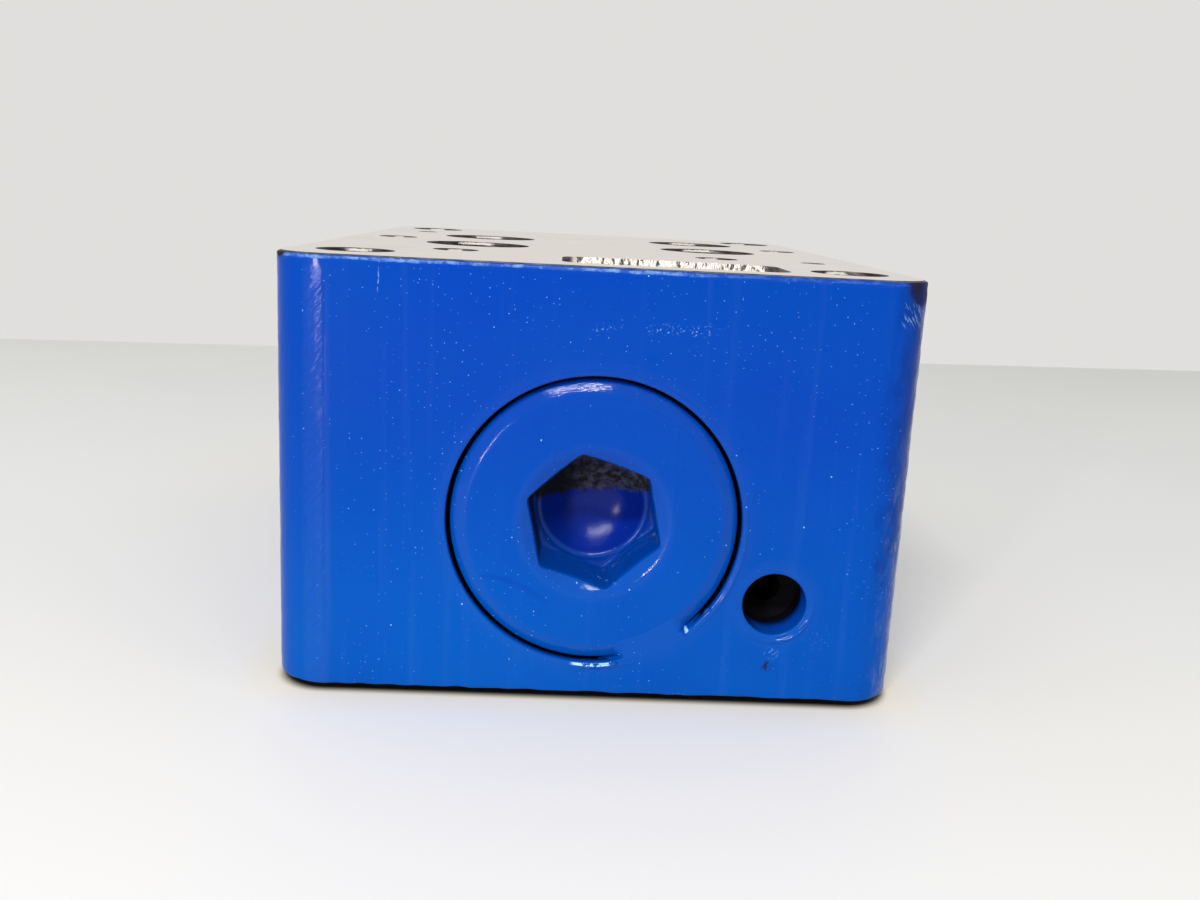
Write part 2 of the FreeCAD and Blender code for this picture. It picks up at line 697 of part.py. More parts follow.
def compensator_spool():
    """The spool that throttles P. Its local Z axis runs from the front plug to the spring."""
    body = new_body("compensator_spool")
    land = S.spool_bore_dia / 2 - S.spool_clearance
    edge = control_edge - spool_front
    rear_start = rear_land_start - spool_front
    rear = spool_rear - spool_front
    floor = pocket_floor - spool_front
    thread = S.orifice_screw_dia / 2
    thread_end = S.nose_slot_depth + S.orifice_screw_length
    axial_end = S.cross_drilling_y - spool_front + S.cross_drilling_dia / 2 + S.spool_drilling
    bevel = S.groove_depth
    revolve(body, "spool_turning", [
        (thread, 0),
        (S.nose_dia / 2, 0),
        (S.nose_dia / 2, S.nose_length),
        (land - bevel, S.nose_length),
        (land, S.nose_length + bevel),
        *balance_groove(land, edge - S.notch_length - 2 * S.groove_pitch),
        *balance_groove(land, edge - S.notch_length - S.groove_pitch),
        (land, edge),
        (S.neck_dia / 2, edge),
        (S.neck_dia / 2, rear_start),
        (land, rear_start),
        *balance_groove(land, rear_start + S.groove_pitch),
        (land, rear - bevel),
        (land - bevel, rear),
        (S.spring_pocket_dia / 2, rear),
        (S.spring_pocket_dia / 2, floor),
        (0, floor),
        (0, axial_end),
        (S.spool_drilling / 2, axial_end - S.spool_drilling / 2),
        (S.spool_drilling / 2, thread_end),
        (thread, thread_end),
    ])
    notches = new_sketch(body, "notch_outline", lift=edge)
    draw_circle(notches, land, 0, S.notch_dia)
    first = pocket(body, "metering_notch", notches, S.notch_length)
    pattern = body.newObject("PartDesign::PolarPattern", "metering_notches")
    pattern.Originals = [first]
    pattern.Axis = (notches, ["N_Axis"])
    pattern.Angle = 360
    pattern.Occurrences = 4
    body.Tip = pattern
    slot = new_sketch(body, "nose_slot_outline")
    half, reach = S.nose_slot_width / 2, S.nose_dia
    draw_outline(slot, [(half, reach), (-half, reach), (-half, -reach), (half, -reach)])
    pocket(body, "nose_slot", slot, S.nose_slot_depth, from_below=True)
    cross = new_sketch(body, "cross_drilling_outline", "XZ_Plane")
    draw_circle(cross, 0, S.cross_drilling_y - spool_front, S.cross_drilling_dia)
    cut_with(body, "PartDesign::Pocket", "cross_drilling", cross, Length=S.neck_dia * 2, Midplane=True)
    return stand(body, 0, spool_front, S.bore_height, (0, 1, 0))


def spool_orifice():
    """The screw with the damping orifice, in the spool's nose."""
    body = new_body("spool_orifice")
    outer = S.orifice_screw_dia / 2 - S.thread_clearance
    revolve(body, "orifice_turning", [
        (S.orifice_dia / 2, 0),
        (outer, 0),
        (outer, S.orifice_screw_length),
        (S.orifice_dia / 2, S.orifice_screw_length),
    ])
    hexagon = new_sketch(body, "orifice_hexagon")
    draw_hexagon(hexagon, S.orifice_socket)
    pocket(body, "orifice_socket", hexagon, S.orifice_socket_depth, from_below=True)
    return stand(body, 0, spool_front + S.nose_slot_depth, S.bore_height, (0, 1, 0))


def spring_plate():
    """The plate behind the spring. Its stem stops the spool at the end of its stroke."""
    body = new_body("spring_plate")
    flange = S.recess_dia / 2 - S.plate_clearance
    stem_length = plate_rear - (pocket_floor + stroke)
    revolve(body, "plate_turning", [
        (0, 0),
        (flange, 0),
        (flange, S.plate_thickness),
        (S.stem_dia / 2, S.plate_thickness),
        (S.stem_dia / 2, stem_length),
        (0, stem_length),
    ])
    return stand(body, 0, plate_rear, S.bore_height, (0, -1, 0))


def preload_shim():
    """The shim that sets the preload of the spring."""
    body = new_body("preload_shim")
    outer = S.recess_dia / 2 - S.plate_clearance
    revolve(body, "shim_turning", [
        (S.shim_bore / 2, 0),
        (outer, 0),
        (outer, S.shim_thickness),
        (S.shim_bore / 2, S.shim_thickness),
    ])
    return stand(body, 0, recess_floor, S.bore_height, (0, -1, 0))


def coil_height(turn, length):
    """Height of the wire's middle after so many turns: closed end turns, even coils between."""
    wire, turns = S.wire_dia.value, S.spring_turns.value
    closed = wire * CLOSED_PITCH
    first, last = wire / 4, length - wire / 4
    if turn <= 1:
        return first + closed * turn
    if turn >= turns - 1:
        return last - closed * (turns - turn)
    share = (turn - 1) / (turns - 2)
    return first + closed + share * (last - first - 2 * closed)


def compression_spring():
    """A coil spring with closed and ground ends, along its local Z axis."""
    length = plate_front.value - pocket_floor.value
    wire, coil = S.wire_dia.value, S.coil_dia.value / 2
    lengths = round(S.spring_turns.value * LENGTHS_PER_TURN)
    path = []
    for i in range(lengths + 1):
        turn = i / LENGTHS_PER_TURN
        angle = 2 * math.pi * turn
        height = coil_height(turn, length)
        path.append(FreeCAD.Vector(coil * math.cos(angle), coil * math.sin(angle), height))
    along = (path[1] - path[0]).normalize()
    outwards = along.cross(FreeCAD.Vector(0, 0, 1)).normalize()
    up = outwards.cross(along)
    corner = wire / 2 / math.cos(math.pi / WIRE_SIDES)
    section = []
    for i in range(WIRE_SIDES + 1):
        angle = 2 * math.pi * (i + 0.5) / WIRE_SIDES
        section.append(path[0] + corner * (math.cos(angle) * outwards + math.sin(angle) * up))
    spine, profile = Part.makePolygon(path), Part.makePolygon(section)
    mitred = 1
    coiled = spine.makePipeShell([profile], True, False, mitred)
    ground = Part.makeCylinder(coil + 2 * wire, length)
    spring = doc.addObject("Part::Feature", "compression_spring")
    spring.Shape = coiled.common(ground).Solids[0]
    return stand(spring, 0, pocket_floor, S.bore_height, (0, 1, 0))


def shuttle_cage():
    """The cage that guides the ball and holds the seat on the side of port B."""
    body = new_body("shuttle_cage")
    outer = S.cage_dia / 2 - S.press_clearance
    passage, guide = S.shuttle_passage / 2, S.ball_guide_dia / 2
    cone = cage_cone - S.cage_start
    middle = ball_middle - S.cage_start
    low, high = middle - S.cage_groove_width / 2, middle + S.cage_groove_width / 2
    revolve(body, "cage_turning", [
        (passage, 0),
        (outer, 0),
        (outer, low),
        (S.cage_groove_dia / 2, low),
        (S.cage_groove_dia / 2, high),
        (outer, high),
        (outer, S.cage_length),
        (guide, S.cage_length),
        (guide, cone + cone_depth),
        (passage, cone),
    ])
    holes = new_sketch(body, "cage_hole_outline", "XZ_Plane")
    draw_circle(holes, 0, middle, S.cage_hole_dia)
    cut_with(body, "PartDesign::Pocket", "cage_holes", holes, Length=S.cage_dia * 2, Midplane=True)
    return stand(body, S.shuttle_x, S.cage_start, S.shuttle_z, (0, 1, 0))


def shuttle_seat():
    """The seat on the side of port A."""
    body = new_body("shuttle_seat")
    outer = S.cage_dia / 2 - S.press_clearance
    passage, guide = S.shuttle_passage / 2, S.ball_guide_dia / 2
    revolve(body, "seat_turning", [
        (guide, 0),
        (outer, 0),
        (outer, S.seat_length),
        (passage, S.seat_length),
        (passage, cone_depth),
    ])
    return stand(body, S.shuttle_x, cage_end, S.shuttle_z, (0, 1, 0))


def ball(label, diameter, *place):
    sphere = doc.addObject("Part::Sphere", label)
    bind(sphere, Radius=diameter / 2)
    return stand(sphere, *place)


def shuttle_bore_plug():
    """The headless screw plug that closes the shuttle bore, flush with the rear face."""
    body = new_body("shuttle_bore_plug")
    outer = S.shuttle_plug_dia / 2 - S.thread_clearance
    bevel = S.thread_chamfer / 2
    length = S.shuttle_plug_length
    revolve(body, "shuttle_plug_turning", [
        (0, 0),
        (outer - bevel, 0),
        (outer, bevel),
        (outer, length - bevel),
        (outer - bevel, length),
        (0, length),
    ])
    hexagon = new_sketch(body, "shuttle_plug_hexagon", lift=length)
    draw_hexagon(hexagon, S.shuttle_plug_socket)
    pocket(body, "shuttle_plug_socket", hexagon, S.shuttle_plug_socket_depth)
    return stand(body, S.shuttle_x, half_length - length, S.shuttle_z, (0, 1, 0))


def all_pieces():
    """Every separate piece of the valve."""
    pieces = [
        valve_body(),
        screw_plug("front_screw_plug", -1, False, S.front_socket_turn),
        screw_plug("rear_screw_plug", 1, True, S.rear_socket_turn),
        collar_seal("front_plug_seal", -1),
        collar_seal("rear_plug_seal", 1),
        compensator_spool(),
        spool_orifice(),
        compression_spring(),
        spring_plate(),
        preload_shim(),
        shuttle_cage(),
        shuttle_seat(),
        ball("shuttle_ball", S.ball_dia, S.shuttle_x, ball_rest, S.shuttle_z),
        shuttle_bore_plug(),
        ball("tap_closing_ball", S.tap_dia - 2 * S.press_clearance, S.tap_x, S.tap_ball_y, S.tap_z),
    ]
    for port, place in port_places().items():
        pieces.append(port_seal(f"port_{port}_seal", place, S.port_seal_dia, S.port_seal_width))
    for port, place in pilot_places().items():
        pieces.append(port_seal(f"port_{port}_seal", place, S.pilot_seal_dia, S.pilot_seal_width))
    return pieces


def check(pieces):
    """Stops if any object of the document failed, or a piece isn't a sound solid."""
    doc.recompute()
    for item in doc.Objects:
        if "Invalid" in item.State or "Error" in item.State:
            raise ValueError(f"{item.Label} failed: {item.State}")
    for piece in pieces:
        shape = piece.Shape
        if shape.isNull() or not shape.isValid() or not shape.Solids:
            raise ValueError(f"{piece.Label} is not a sound solid")


pieces = all_pieces()
check(pieces)
os.makedirs("parts", exist_ok=True)
for piece in pieces:
    piece.Shape.exportStep(f"parts/{piece.Label}.step")
    print(f"{piece.Label:22s} {len(piece.Shape.Solids)} solid, {piece.Shape.Volume / 1000:8.3f} cm3")
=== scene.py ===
import math

import bmesh
import bpy
from mathutils import Matrix, Vector, noise


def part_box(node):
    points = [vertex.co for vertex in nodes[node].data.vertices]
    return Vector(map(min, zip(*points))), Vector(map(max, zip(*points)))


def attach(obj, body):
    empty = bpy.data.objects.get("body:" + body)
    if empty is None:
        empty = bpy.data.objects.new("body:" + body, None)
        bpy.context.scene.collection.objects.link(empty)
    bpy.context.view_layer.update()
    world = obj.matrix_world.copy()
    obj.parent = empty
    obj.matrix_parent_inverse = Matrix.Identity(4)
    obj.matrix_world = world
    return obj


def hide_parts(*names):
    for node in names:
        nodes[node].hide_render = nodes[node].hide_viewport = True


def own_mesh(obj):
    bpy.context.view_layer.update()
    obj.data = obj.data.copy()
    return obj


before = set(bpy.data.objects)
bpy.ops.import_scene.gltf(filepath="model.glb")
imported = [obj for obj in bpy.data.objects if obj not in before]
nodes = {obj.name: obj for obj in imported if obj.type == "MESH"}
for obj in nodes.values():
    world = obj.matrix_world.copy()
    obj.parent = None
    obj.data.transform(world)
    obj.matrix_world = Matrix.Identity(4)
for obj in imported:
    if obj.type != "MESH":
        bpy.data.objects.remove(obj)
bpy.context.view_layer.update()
scene = bpy.context.scene
mm = 0.001


class Wire:
    # an output socket that the signs + - * work on: each adds one Math node
    def __init__(self, finish, socket):
        self.finish = finish
        self.socket = socket

    def join(self, operation, first, second):
        return self.finish.add("ShaderNodeMath", {"operation": operation}, {0: first, 1: second})

    def __add__(self, other):
        return self.join("ADD", self, other)

    def __radd__(self, other):
        return self.join("ADD", other, self)

    def __sub__(self, other):
        return self.join("SUBTRACT", self, other)

    def __rsub__(self, other):
        return self.join("SUBTRACT", other, self)

    def __mul__(self, other):
        return self.join("MULTIPLY", self, other)

    def __rmul__(self, other):
        return self.join("MULTIPLY", other, self)

    def greater(self, other):
        return self.join("MAXIMUM", self, other)

    def size(self):
        return self.join("ABSOLUTE", self, 0.0)

    def root(self):
        return self.join("SQRT", self, 0.0)


class Finish:
    # one material, and the nodes that make it
    def __init__(self, name):
        self.material = bpy.data.materials.new(name)
        self.material.use_nodes = True
        self.tree = self.material.node_tree
        self.tree.nodes.clear()
        coords = self.node("ShaderNodeTexCoord")
        self.normal = Wire(self, coords.outputs["Normal"])
        scaled = self.node("ShaderNodeVectorMath", {"operation": "SCALE"},
                           {0: Wire(self, coords.outputs["Object"]), "Scale": 1 / mm})
        self.place = Wire(self, scaled.outputs[0])
        self.x, self.y, self.z = self.split(self.place)
        self.nx, self.ny, self.nz = self.split(self.normal)

    def node(self, kind, settings=None, values=None):
        made = self.tree.nodes.new(kind)
        for key, value in (settings or {}).items():
            setattr(made, key, value)
        for key, value in (values or {}).items():
            if isinstance(value, Wire):
                self.tree.links.new(value.socket, made.inputs[key])
            else:
                made.inputs[key].default_value = value
        return made

    def add(self, kind, settings=None, values=None, output=0):
        return Wire(self, self.node(kind, settings, values).outputs[output])

    def power(self, value):
        return value * value

    def split(self, vector):
        made = self.node("ShaderNodeSeparateXYZ", None, {0: vector})
        return [Wire(self, made.outputs[i]) for i in range(3)]

    def vector(self, x, y, z):
        return self.add("ShaderNodeCombineXYZ", None, {0: x, 1: y, 2: z})

    def stretch(self, x, y, z):
        # the place in millimetres, times a number along each axis
        return self.add("ShaderNodeVectorMath", {"operation": "MULTIPLY"}, {0: self.place, 1: (x, y, z)})

    def noise(self, scale, detail=3.0, rough=0.5, at=None):
        return self.add("ShaderNodeTexNoise", None, {"Vector": at or self.place, "Scale": scale,
                                                     "Detail": detail, "Roughness": rough})

    def mask(self, value, low, high):
        return self.add("ShaderNodeMapRange", {"interpolation_type": "SMOOTHSTEP"},
                        {0: value, 1: low, 2: high, 3: 0.0, 4: 1.0})

    def tint(self, factor, first, second, mode="MIX"):
        # sockets 6 and 7 of a Mix node are its two colours, and output 2 is its colour
        return self.add("ShaderNodeMix", {"data_type": "RGBA", "blend_type": mode},
                        {0: factor, 6: self.colour(first), 7: self.colour(second)}, 2)

    def colour(self, value):
        return value if isinstance(value, Wire) else (*value, 1.0)

    def between(self, value, low, high, soft):
        return self.mask(value, low - soft, low + soft) * (1 - self.mask(value, high - soft, high + soft))

    def around(self, x, z, reach, soft):
        # round patch about an axis along Y
        return 1 - self.mask(radialPlace(self, x, z), reach - soft, reach + soft)

    def strokes(self, lean, width, length, detail=2.0):
        # noise drawn out into strokes that lean to the right by an angle in degrees
        turned = self.add("ShaderNodeMapping", {"vector_type": "TEXTURE"},
                          {"Vector": self.place, "Rotation": (0.0, math.radians(lean), 0.0),
                           "Scale": (width, 2.0, length)})
        return self.noise(1.0, detail, 0.55, turned)

    def bump(self, height):
        # height in millimetres
        return self.add("ShaderNodeBump", None, {"Height": height, "Strength": 1.0, "Distance": mm})

    def close(self, values, glossy=None, share=None):
        # glossy: sockets of a second shader that takes over where share is 1
        shader = self.node("ShaderNodeBsdfPrincipled", None, values)
        if glossy:
            bright = self.node("ShaderNodeBsdfPrincipled", None, {**values, **glossy})
            mixed = self.node("ShaderNodeMixShader", None, {0: share})
            self.tree.links.new(shader.outputs[0], mixed.inputs[1])
            self.tree.links.new(bright.outputs[0], mixed.inputs[2])
            shader = mixed
        output = self.node("ShaderNodeOutputMaterial")
        self.tree.links.new(shader.outputs[0], output.inputs[0])
        return self.material


enamelLook = {
    # upper and lower are painted shade and light: the enamel darker at the top, lighter towards the
    # bottom; socket is painted shade inside the socket
    "upper": (0.0, 0.044, 0.352),
    "lower": (0.0, 0.078, 0.394),
    "cloud": (0.0, 0.054, 0.340),
    "wearAndHighlight": (0.16, 0.32, 0.62),
    "dust": (0.36, 0.76, 1.0),
    "beadHighlight": (0.48, 0.78, 1.0),
    "dustAndSheen": (0.26, 0.33, 0.50),
    "cornerShade": (0.0, 0.020, 0.16),
    "shaded": (0.0, 0.06, 0.60),
    "socket": (0.0, 0.020, 0.30),
    "poolShade": (0.002, 0.010, 0.22),
    "shadedCrease": (0.0, 0.03, 0.30),
    "scorched": (0.012, 0.010, 0.012),
    "roughness": 0.17,
    "faceSpecular": 0.07,
    "edgeSpecular": 0.19,
    "edgeRoughness": 0.07,
}
boreLook = {
    # dark, grey and black are the painted shade inside the bores, the ring gap and the socket
    "dark": (0.010, 0.010, 0.011),
    "grey": (0.058, 0.060, 0.092),
    "black": (0.004, 0.004, 0.005),
    "tapX": 25.8,
    "tapZ": 14.3,
    "spoolZ": 25.0,
    "end": 63.0,
}


def radialPlace(f, x, z):
    # distance from an axis along Y, in millimetres
    return (f.power(f.x - x) + f.power(f.z - z)).root()


def dustSpecks(f, cells, share, size):
    # round specks of several sizes: cells per millimetre, share of the cells that hold one
    around = f.x + f.y * 0.83
    spots = f.node("ShaderNodeTexVoronoi", {"voronoi_dimensions": "2D"},
                   {"Vector": f.vector(around, f.z, 0.0), "Scale": cells})
    distance = Wire(f, spots.outputs["Distance"]) * (1 / cells)
    chance, spread, faint = f.split(Wire(f, spots.outputs["Color"]))
    reach = (spread * 0.7 + 0.3) * size
    picked = f.mask(chance, 1 - share - 0.01, 1 - share)
    return (1 - f.mask(distance - reach, -0.03, 0.03)) * picked * (faint * 0.7 + 0.3)


def paintColour(f, streaks):
    # painted shade and light: the enamel darker towards the top and lighter towards the bottom
    lit = f.tint(f.mask(f.z, 4.0, 46.0), enamelLook["lower"], enamelLook["upper"])
    base = f.tint(f.mask(f.noise(0.035, 2.0), 0.35, 0.65) * 0.5, lit, enamelLook["cloud"])
    brush = f.noise(1.0, 2.0, 0.5, f.stretch(0.55, 0.55, 0.02))
    base = f.tint(f.mask(brush, 0.52, 0.8) * 0.025 * streaks, base, enamelLook["wearAndHighlight"])
    patches = f.mask(f.noise(0.07, 2.0), 0.42, 0.6) * 0.85 + 0.15
    fine = dustSpecks(f, 1.20, 0.19, 0.058) * patches
    coarse = dustSpecks(f, 0.30, 0.10, 0.11)
    dust = fine.greater(coarse)
    return f.tint(dust * 0.9, base, enamelLook["dust"]), dust, brush


# places of the marks on the enamel, in millimetres
marks = {
    "smear": (-8.0, 14.0),
    "smearHeight": 51.7,
    "haze": (32.3, 8.8),
    "scratch": -29.8,
    "flakes": (25.9, 7.1),
    "smudge": (25.4, 5.2),
    "droplet": (13.70, 10.02),
    "knock": (43.4, -60.4, 60.0),
    "nick": (-43.6, -60.0, 60.0),
    "thread": -36.55,
    "shadedCrease": (-14.8, 17.0),
    "nib": (6.5, 47.4),
    "chip": (43.2, -60.6, 59.6),
}


def dustySmear(f, base, front):
    # across the upper part of the front, and a haze beside the small drilling
    line = (f.z - marks["smearHeight"] - f.x * 0.045 + (f.noise(0.25, 2.0) - 0.5) * 1.6).size()
    smear = (1 - f.mask(line, 0.1, 1.1)) * f.between(f.x, *marks["smear"], 3.0) * front
    smear = smear * f.mask(f.noise(2.6, 3.0, 0.7), 0.57, 0.66) * f.mask(f.noise(0.22, 1.0), 0.45, 0.6)
    haze = f.around(*marks["haze"], 2.2, 1.6) * f.mask(f.noise(2.2, 5.0, 0.8), 0.58, 0.7) * front
    return f.tint((smear * 0.45).greater(haze * 0.22), base, enamelLook["dust"])


def wearAndTopHighlight(f, front):
    # painted highlight: a light line along the upper edge, strongest left of the middle
    ragged = f.noise(0.9, 4.0, 0.65, f.stretch(0.5, 0.5, 1.6))
    wearAndHighlight = f.between(f.z + (ragged - 0.5) * 0.8, 59.34, 59.74, 0.10)
    wearAndHighlight = wearAndHighlight * (f.mask(f.noise(0.5, 4.0, 0.7), 0.42, 0.6) * 0.65 + 0.12)
    wearAndHighlight = wearAndHighlight * (1 - f.mask(f.x, 6.0, 18.0) * 0.75)
    # a scratch, a flaked spot below the drilling and the frayed edge of the knocked corner
    bend = (f.noise(0.3, 1.0) - 0.5) * 0.8
    scratch = 1 - f.mask((f.x - marks["scratch"] + bend).size(), 0.02, 0.10)
    scratch = scratch * f.between(f.z, 55.6, 58.6, 0.9) * f.mask(f.noise(1.2, 2.0), 0.44, 0.58) * front
    flakes = f.around(*marks["flakes"], 0.8, 0.5) * f.mask(f.strokes(35.0, 0.22, 0.8), 0.50, 0.60) * front
    frayed = f.mask(f.x, 39.2, 40.6) * f.between(f.z, 54.0, 57.6, 0.6)
    frayed = frayed * f.mask(f.strokes(-35.0, 0.22, 1.6), 0.57, 0.63) * (1 - f.mask(f.y, -60.0, -58.0))
    return wearAndHighlight.greater(scratch * 0.7).greater(flakes * 0.55).greater(frayed)


def paintedBeadHighlight(f, around, front):
    # painted highlight: a light tint on the enamel bead below the ring gap and on the drop beside it, by
    # the distance around the plug's axis
    beadHighlight = f.between(around, 20.46, 20.80, 0.05) * f.between(f.x, -2.2, 3.3, 0.5)
    beadHighlight = beadHighlight * (1 - f.mask(f.z, 6.0, 7.0)) * f.mask(f.noise(1.1, 3.0, 0.6), 0.40, 0.52)
    return beadHighlight.greater(f.around(*marks["droplet"], 0.24, 0.10)) * front


def bareIron(f):
    # where the right upper corner is knocked and the left one is nicked
    x, y, z = marks["knock"]
    knock = ((f.power(f.x - x) + f.power(f.y - y)) * 0.55 + f.power(f.z - z) * 0.7).root()
    bare = 1 - f.mask(knock + (f.noise(1.1, 5.0, 0.7) - 0.5) * 1.8, 2.5, 3.4)
    x, y, z = marks["nick"]
    nick = ((f.power(f.x - x) + f.power(f.y - y)) * 0.5 + f.power(f.z - z) * 1.5).root()
    return bare.greater(1 - f.mask(nick + (f.noise(1.4, 4.0, 0.7) - 0.5) * 1.4, 0.9, 1.5))


def cornerShadeAndSheen(f, base, ripples):
    # painted shade and dark reflections in patches on the upper part of the right corner, dust with a
    # painted pale sheen in runs below
    corner = f.mask(f.x + (ripples - 0.5) * 7.0, 38.4, 42.6) * (1 - f.mask(f.y, -56.5, -50.0))
    cornerShade = corner * f.mask(f.z + (ripples - 0.5) * 30.0, 14.0, 26.0)
    cornerShade = cornerShade * f.mask(ripples + (f.x - 39.0) * 0.05, 0.36, 0.52)
    base = f.tint(cornerShade * 0.5, base, enamelLook["cornerShade"])
    runs = f.noise(0.55, 4.0, 0.65, f.stretch(1.0, 1.0, 0.45))
    dustAndSheen = corner * (1 - f.mask(f.z, 24.0, 42.0)) * f.mask(runs, 0.46, 0.70)
    return f.tint(dustAndSheen * f.mask(f.x, 39.5, 43.5) * 0.42, base, enamelLook["dustAndSheen"])


def filmEnamel():
    f = Finish("blueEnamel")
    base, dust, brush = paintColour(f, 1.0)
    front = 1 - f.mask(f.y, -60.0, -57.0)
    right = f.mask(f.x, 40.0, 43.5)
    left = 1 - f.mask(f.x, -36.9, -36.1)
    around = radialPlace(f, 0.0, boreLook["spoolZ"])
    tap = radialPlace(f, boreLook["tapX"], boreLook["tapZ"])
    base = dustySmear(f, base, front)
    # painted highlight along the upper edge, with the real scratch, flakes and frayed corner
    light = wearAndTopHighlight(f, front)
    base = f.tint(light, base, enamelLook["wearAndHighlight"])
    # painted highlight on the bead and the drop below the ring gap
    base = f.tint(paintedBeadHighlight(f, around, front) * 0.85, base, enamelLook["beadHighlight"])
    bare = bareIron(f)
    smudge = f.around(*marks["smudge"], 0.7, 0.5) * f.mask(f.strokes(35.0, 0.4, 1.2), 0.38, 0.5) * front
    base = f.tint(bare.greater(smudge * 0.8), base, enamelLook["scorched"])
    ripples = f.noise(0.55, 3.0, 0.6, f.stretch(1.0, 1.0, 0.6))
    # painted shade and sheen on the right corner
    base = cornerShadeAndSheen(f, base, ripples)
    # brush marks on the left corner, cast roughness on the right one
    hatched = f.between(f.x, -39.8, -36.9, 0.3) * f.between(f.z, 6.0, 57.5, 2.0)
    hatch = f.strokes(38.0, 0.38, 2.6)
    thread = 1 - f.mask((f.x - marks["thread"]).size(), 0.02, 0.24)
    thread = thread * f.between(f.z, 36.5, 50.0, 1.5) * front
    grain = f.noise(1.0, 3.0, 0.6, f.stretch(0.9, 0.9, 0.55))
    height = brush * 0.010 + hatch * (hatched * 0.24 + left * 0.010) + thread * 0.032 + light * 0.03
    height = height + grain * (right * 0.10 + left * 0.03 + 0.003) + ripples * right * 0.12
    rough = f.mask(f.noise(0.3, 3.0), 0.2, 0.8) * 0.06 + enamelLook["roughness"] - 0.03
    rough = rough + dust * 0.3 + (light * 0.2).greater(bare * 0.5)
    # glossier edges: the right corner, the left strip, the rims of the holes and the upper line
    ring = 1 - f.mask(around, 20.6, 23.2)
    mouth = 1 - f.mask(tap, 5.2, 7.2)
    strip = f.between(f.x, -39.6, -36.2, 0.3) * front
    wide = ring.greater(mouth) * front * 0.65
    edges = (right * 0.6).greater(strip).greater(wide).greater(f.mask(f.z, 58.8, 59.2) * 0.6)
    # the drilling's wall inside the coat: a lighter blue, and painted shade, black, except on the lower
    # right side near the mouth
    facing = ((f.x - boreLook["tapX"]) * 0.60 - (f.z - boreLook["tapZ"]) * 0.80) * 0.2
    facing = facing + (f.noise(0.6, 3.0) - 0.5) * 0.4
    reach = boreLook["end"] + f.y + (f.noise(0.5, 3.0) - 0.5) * 1.6
    inBore = front * (1 - f.mask(tap, 4.75, 4.95)) * f.mask(boreLook["end"] + f.y, 0.4, 1.3)
    paintedHollowShade = inBore * (1 - f.mask(facing, 0.05, 0.55) * (1 - f.mask(reach, 2.2, 4.9)))
    base = f.tint(inBore * 0.35, base, enamelLook["shaded"])
    base = f.tint(paintedHollowShade, base, boreLook["black"])
    return f.close({"Base Color": base, "Roughness": rough, "IOR": 1.45, "Normal": f.bump(height),
                    "Specular IOR Level": enamelLook["faceSpecular"]},
                   {"Specular IOR Level": enamelLook["edgeSpecular"],
                    "Roughness": enamelLook["edgeRoughness"]},
                   edges * (1 - bare * 0.8) * (1 - inBore))


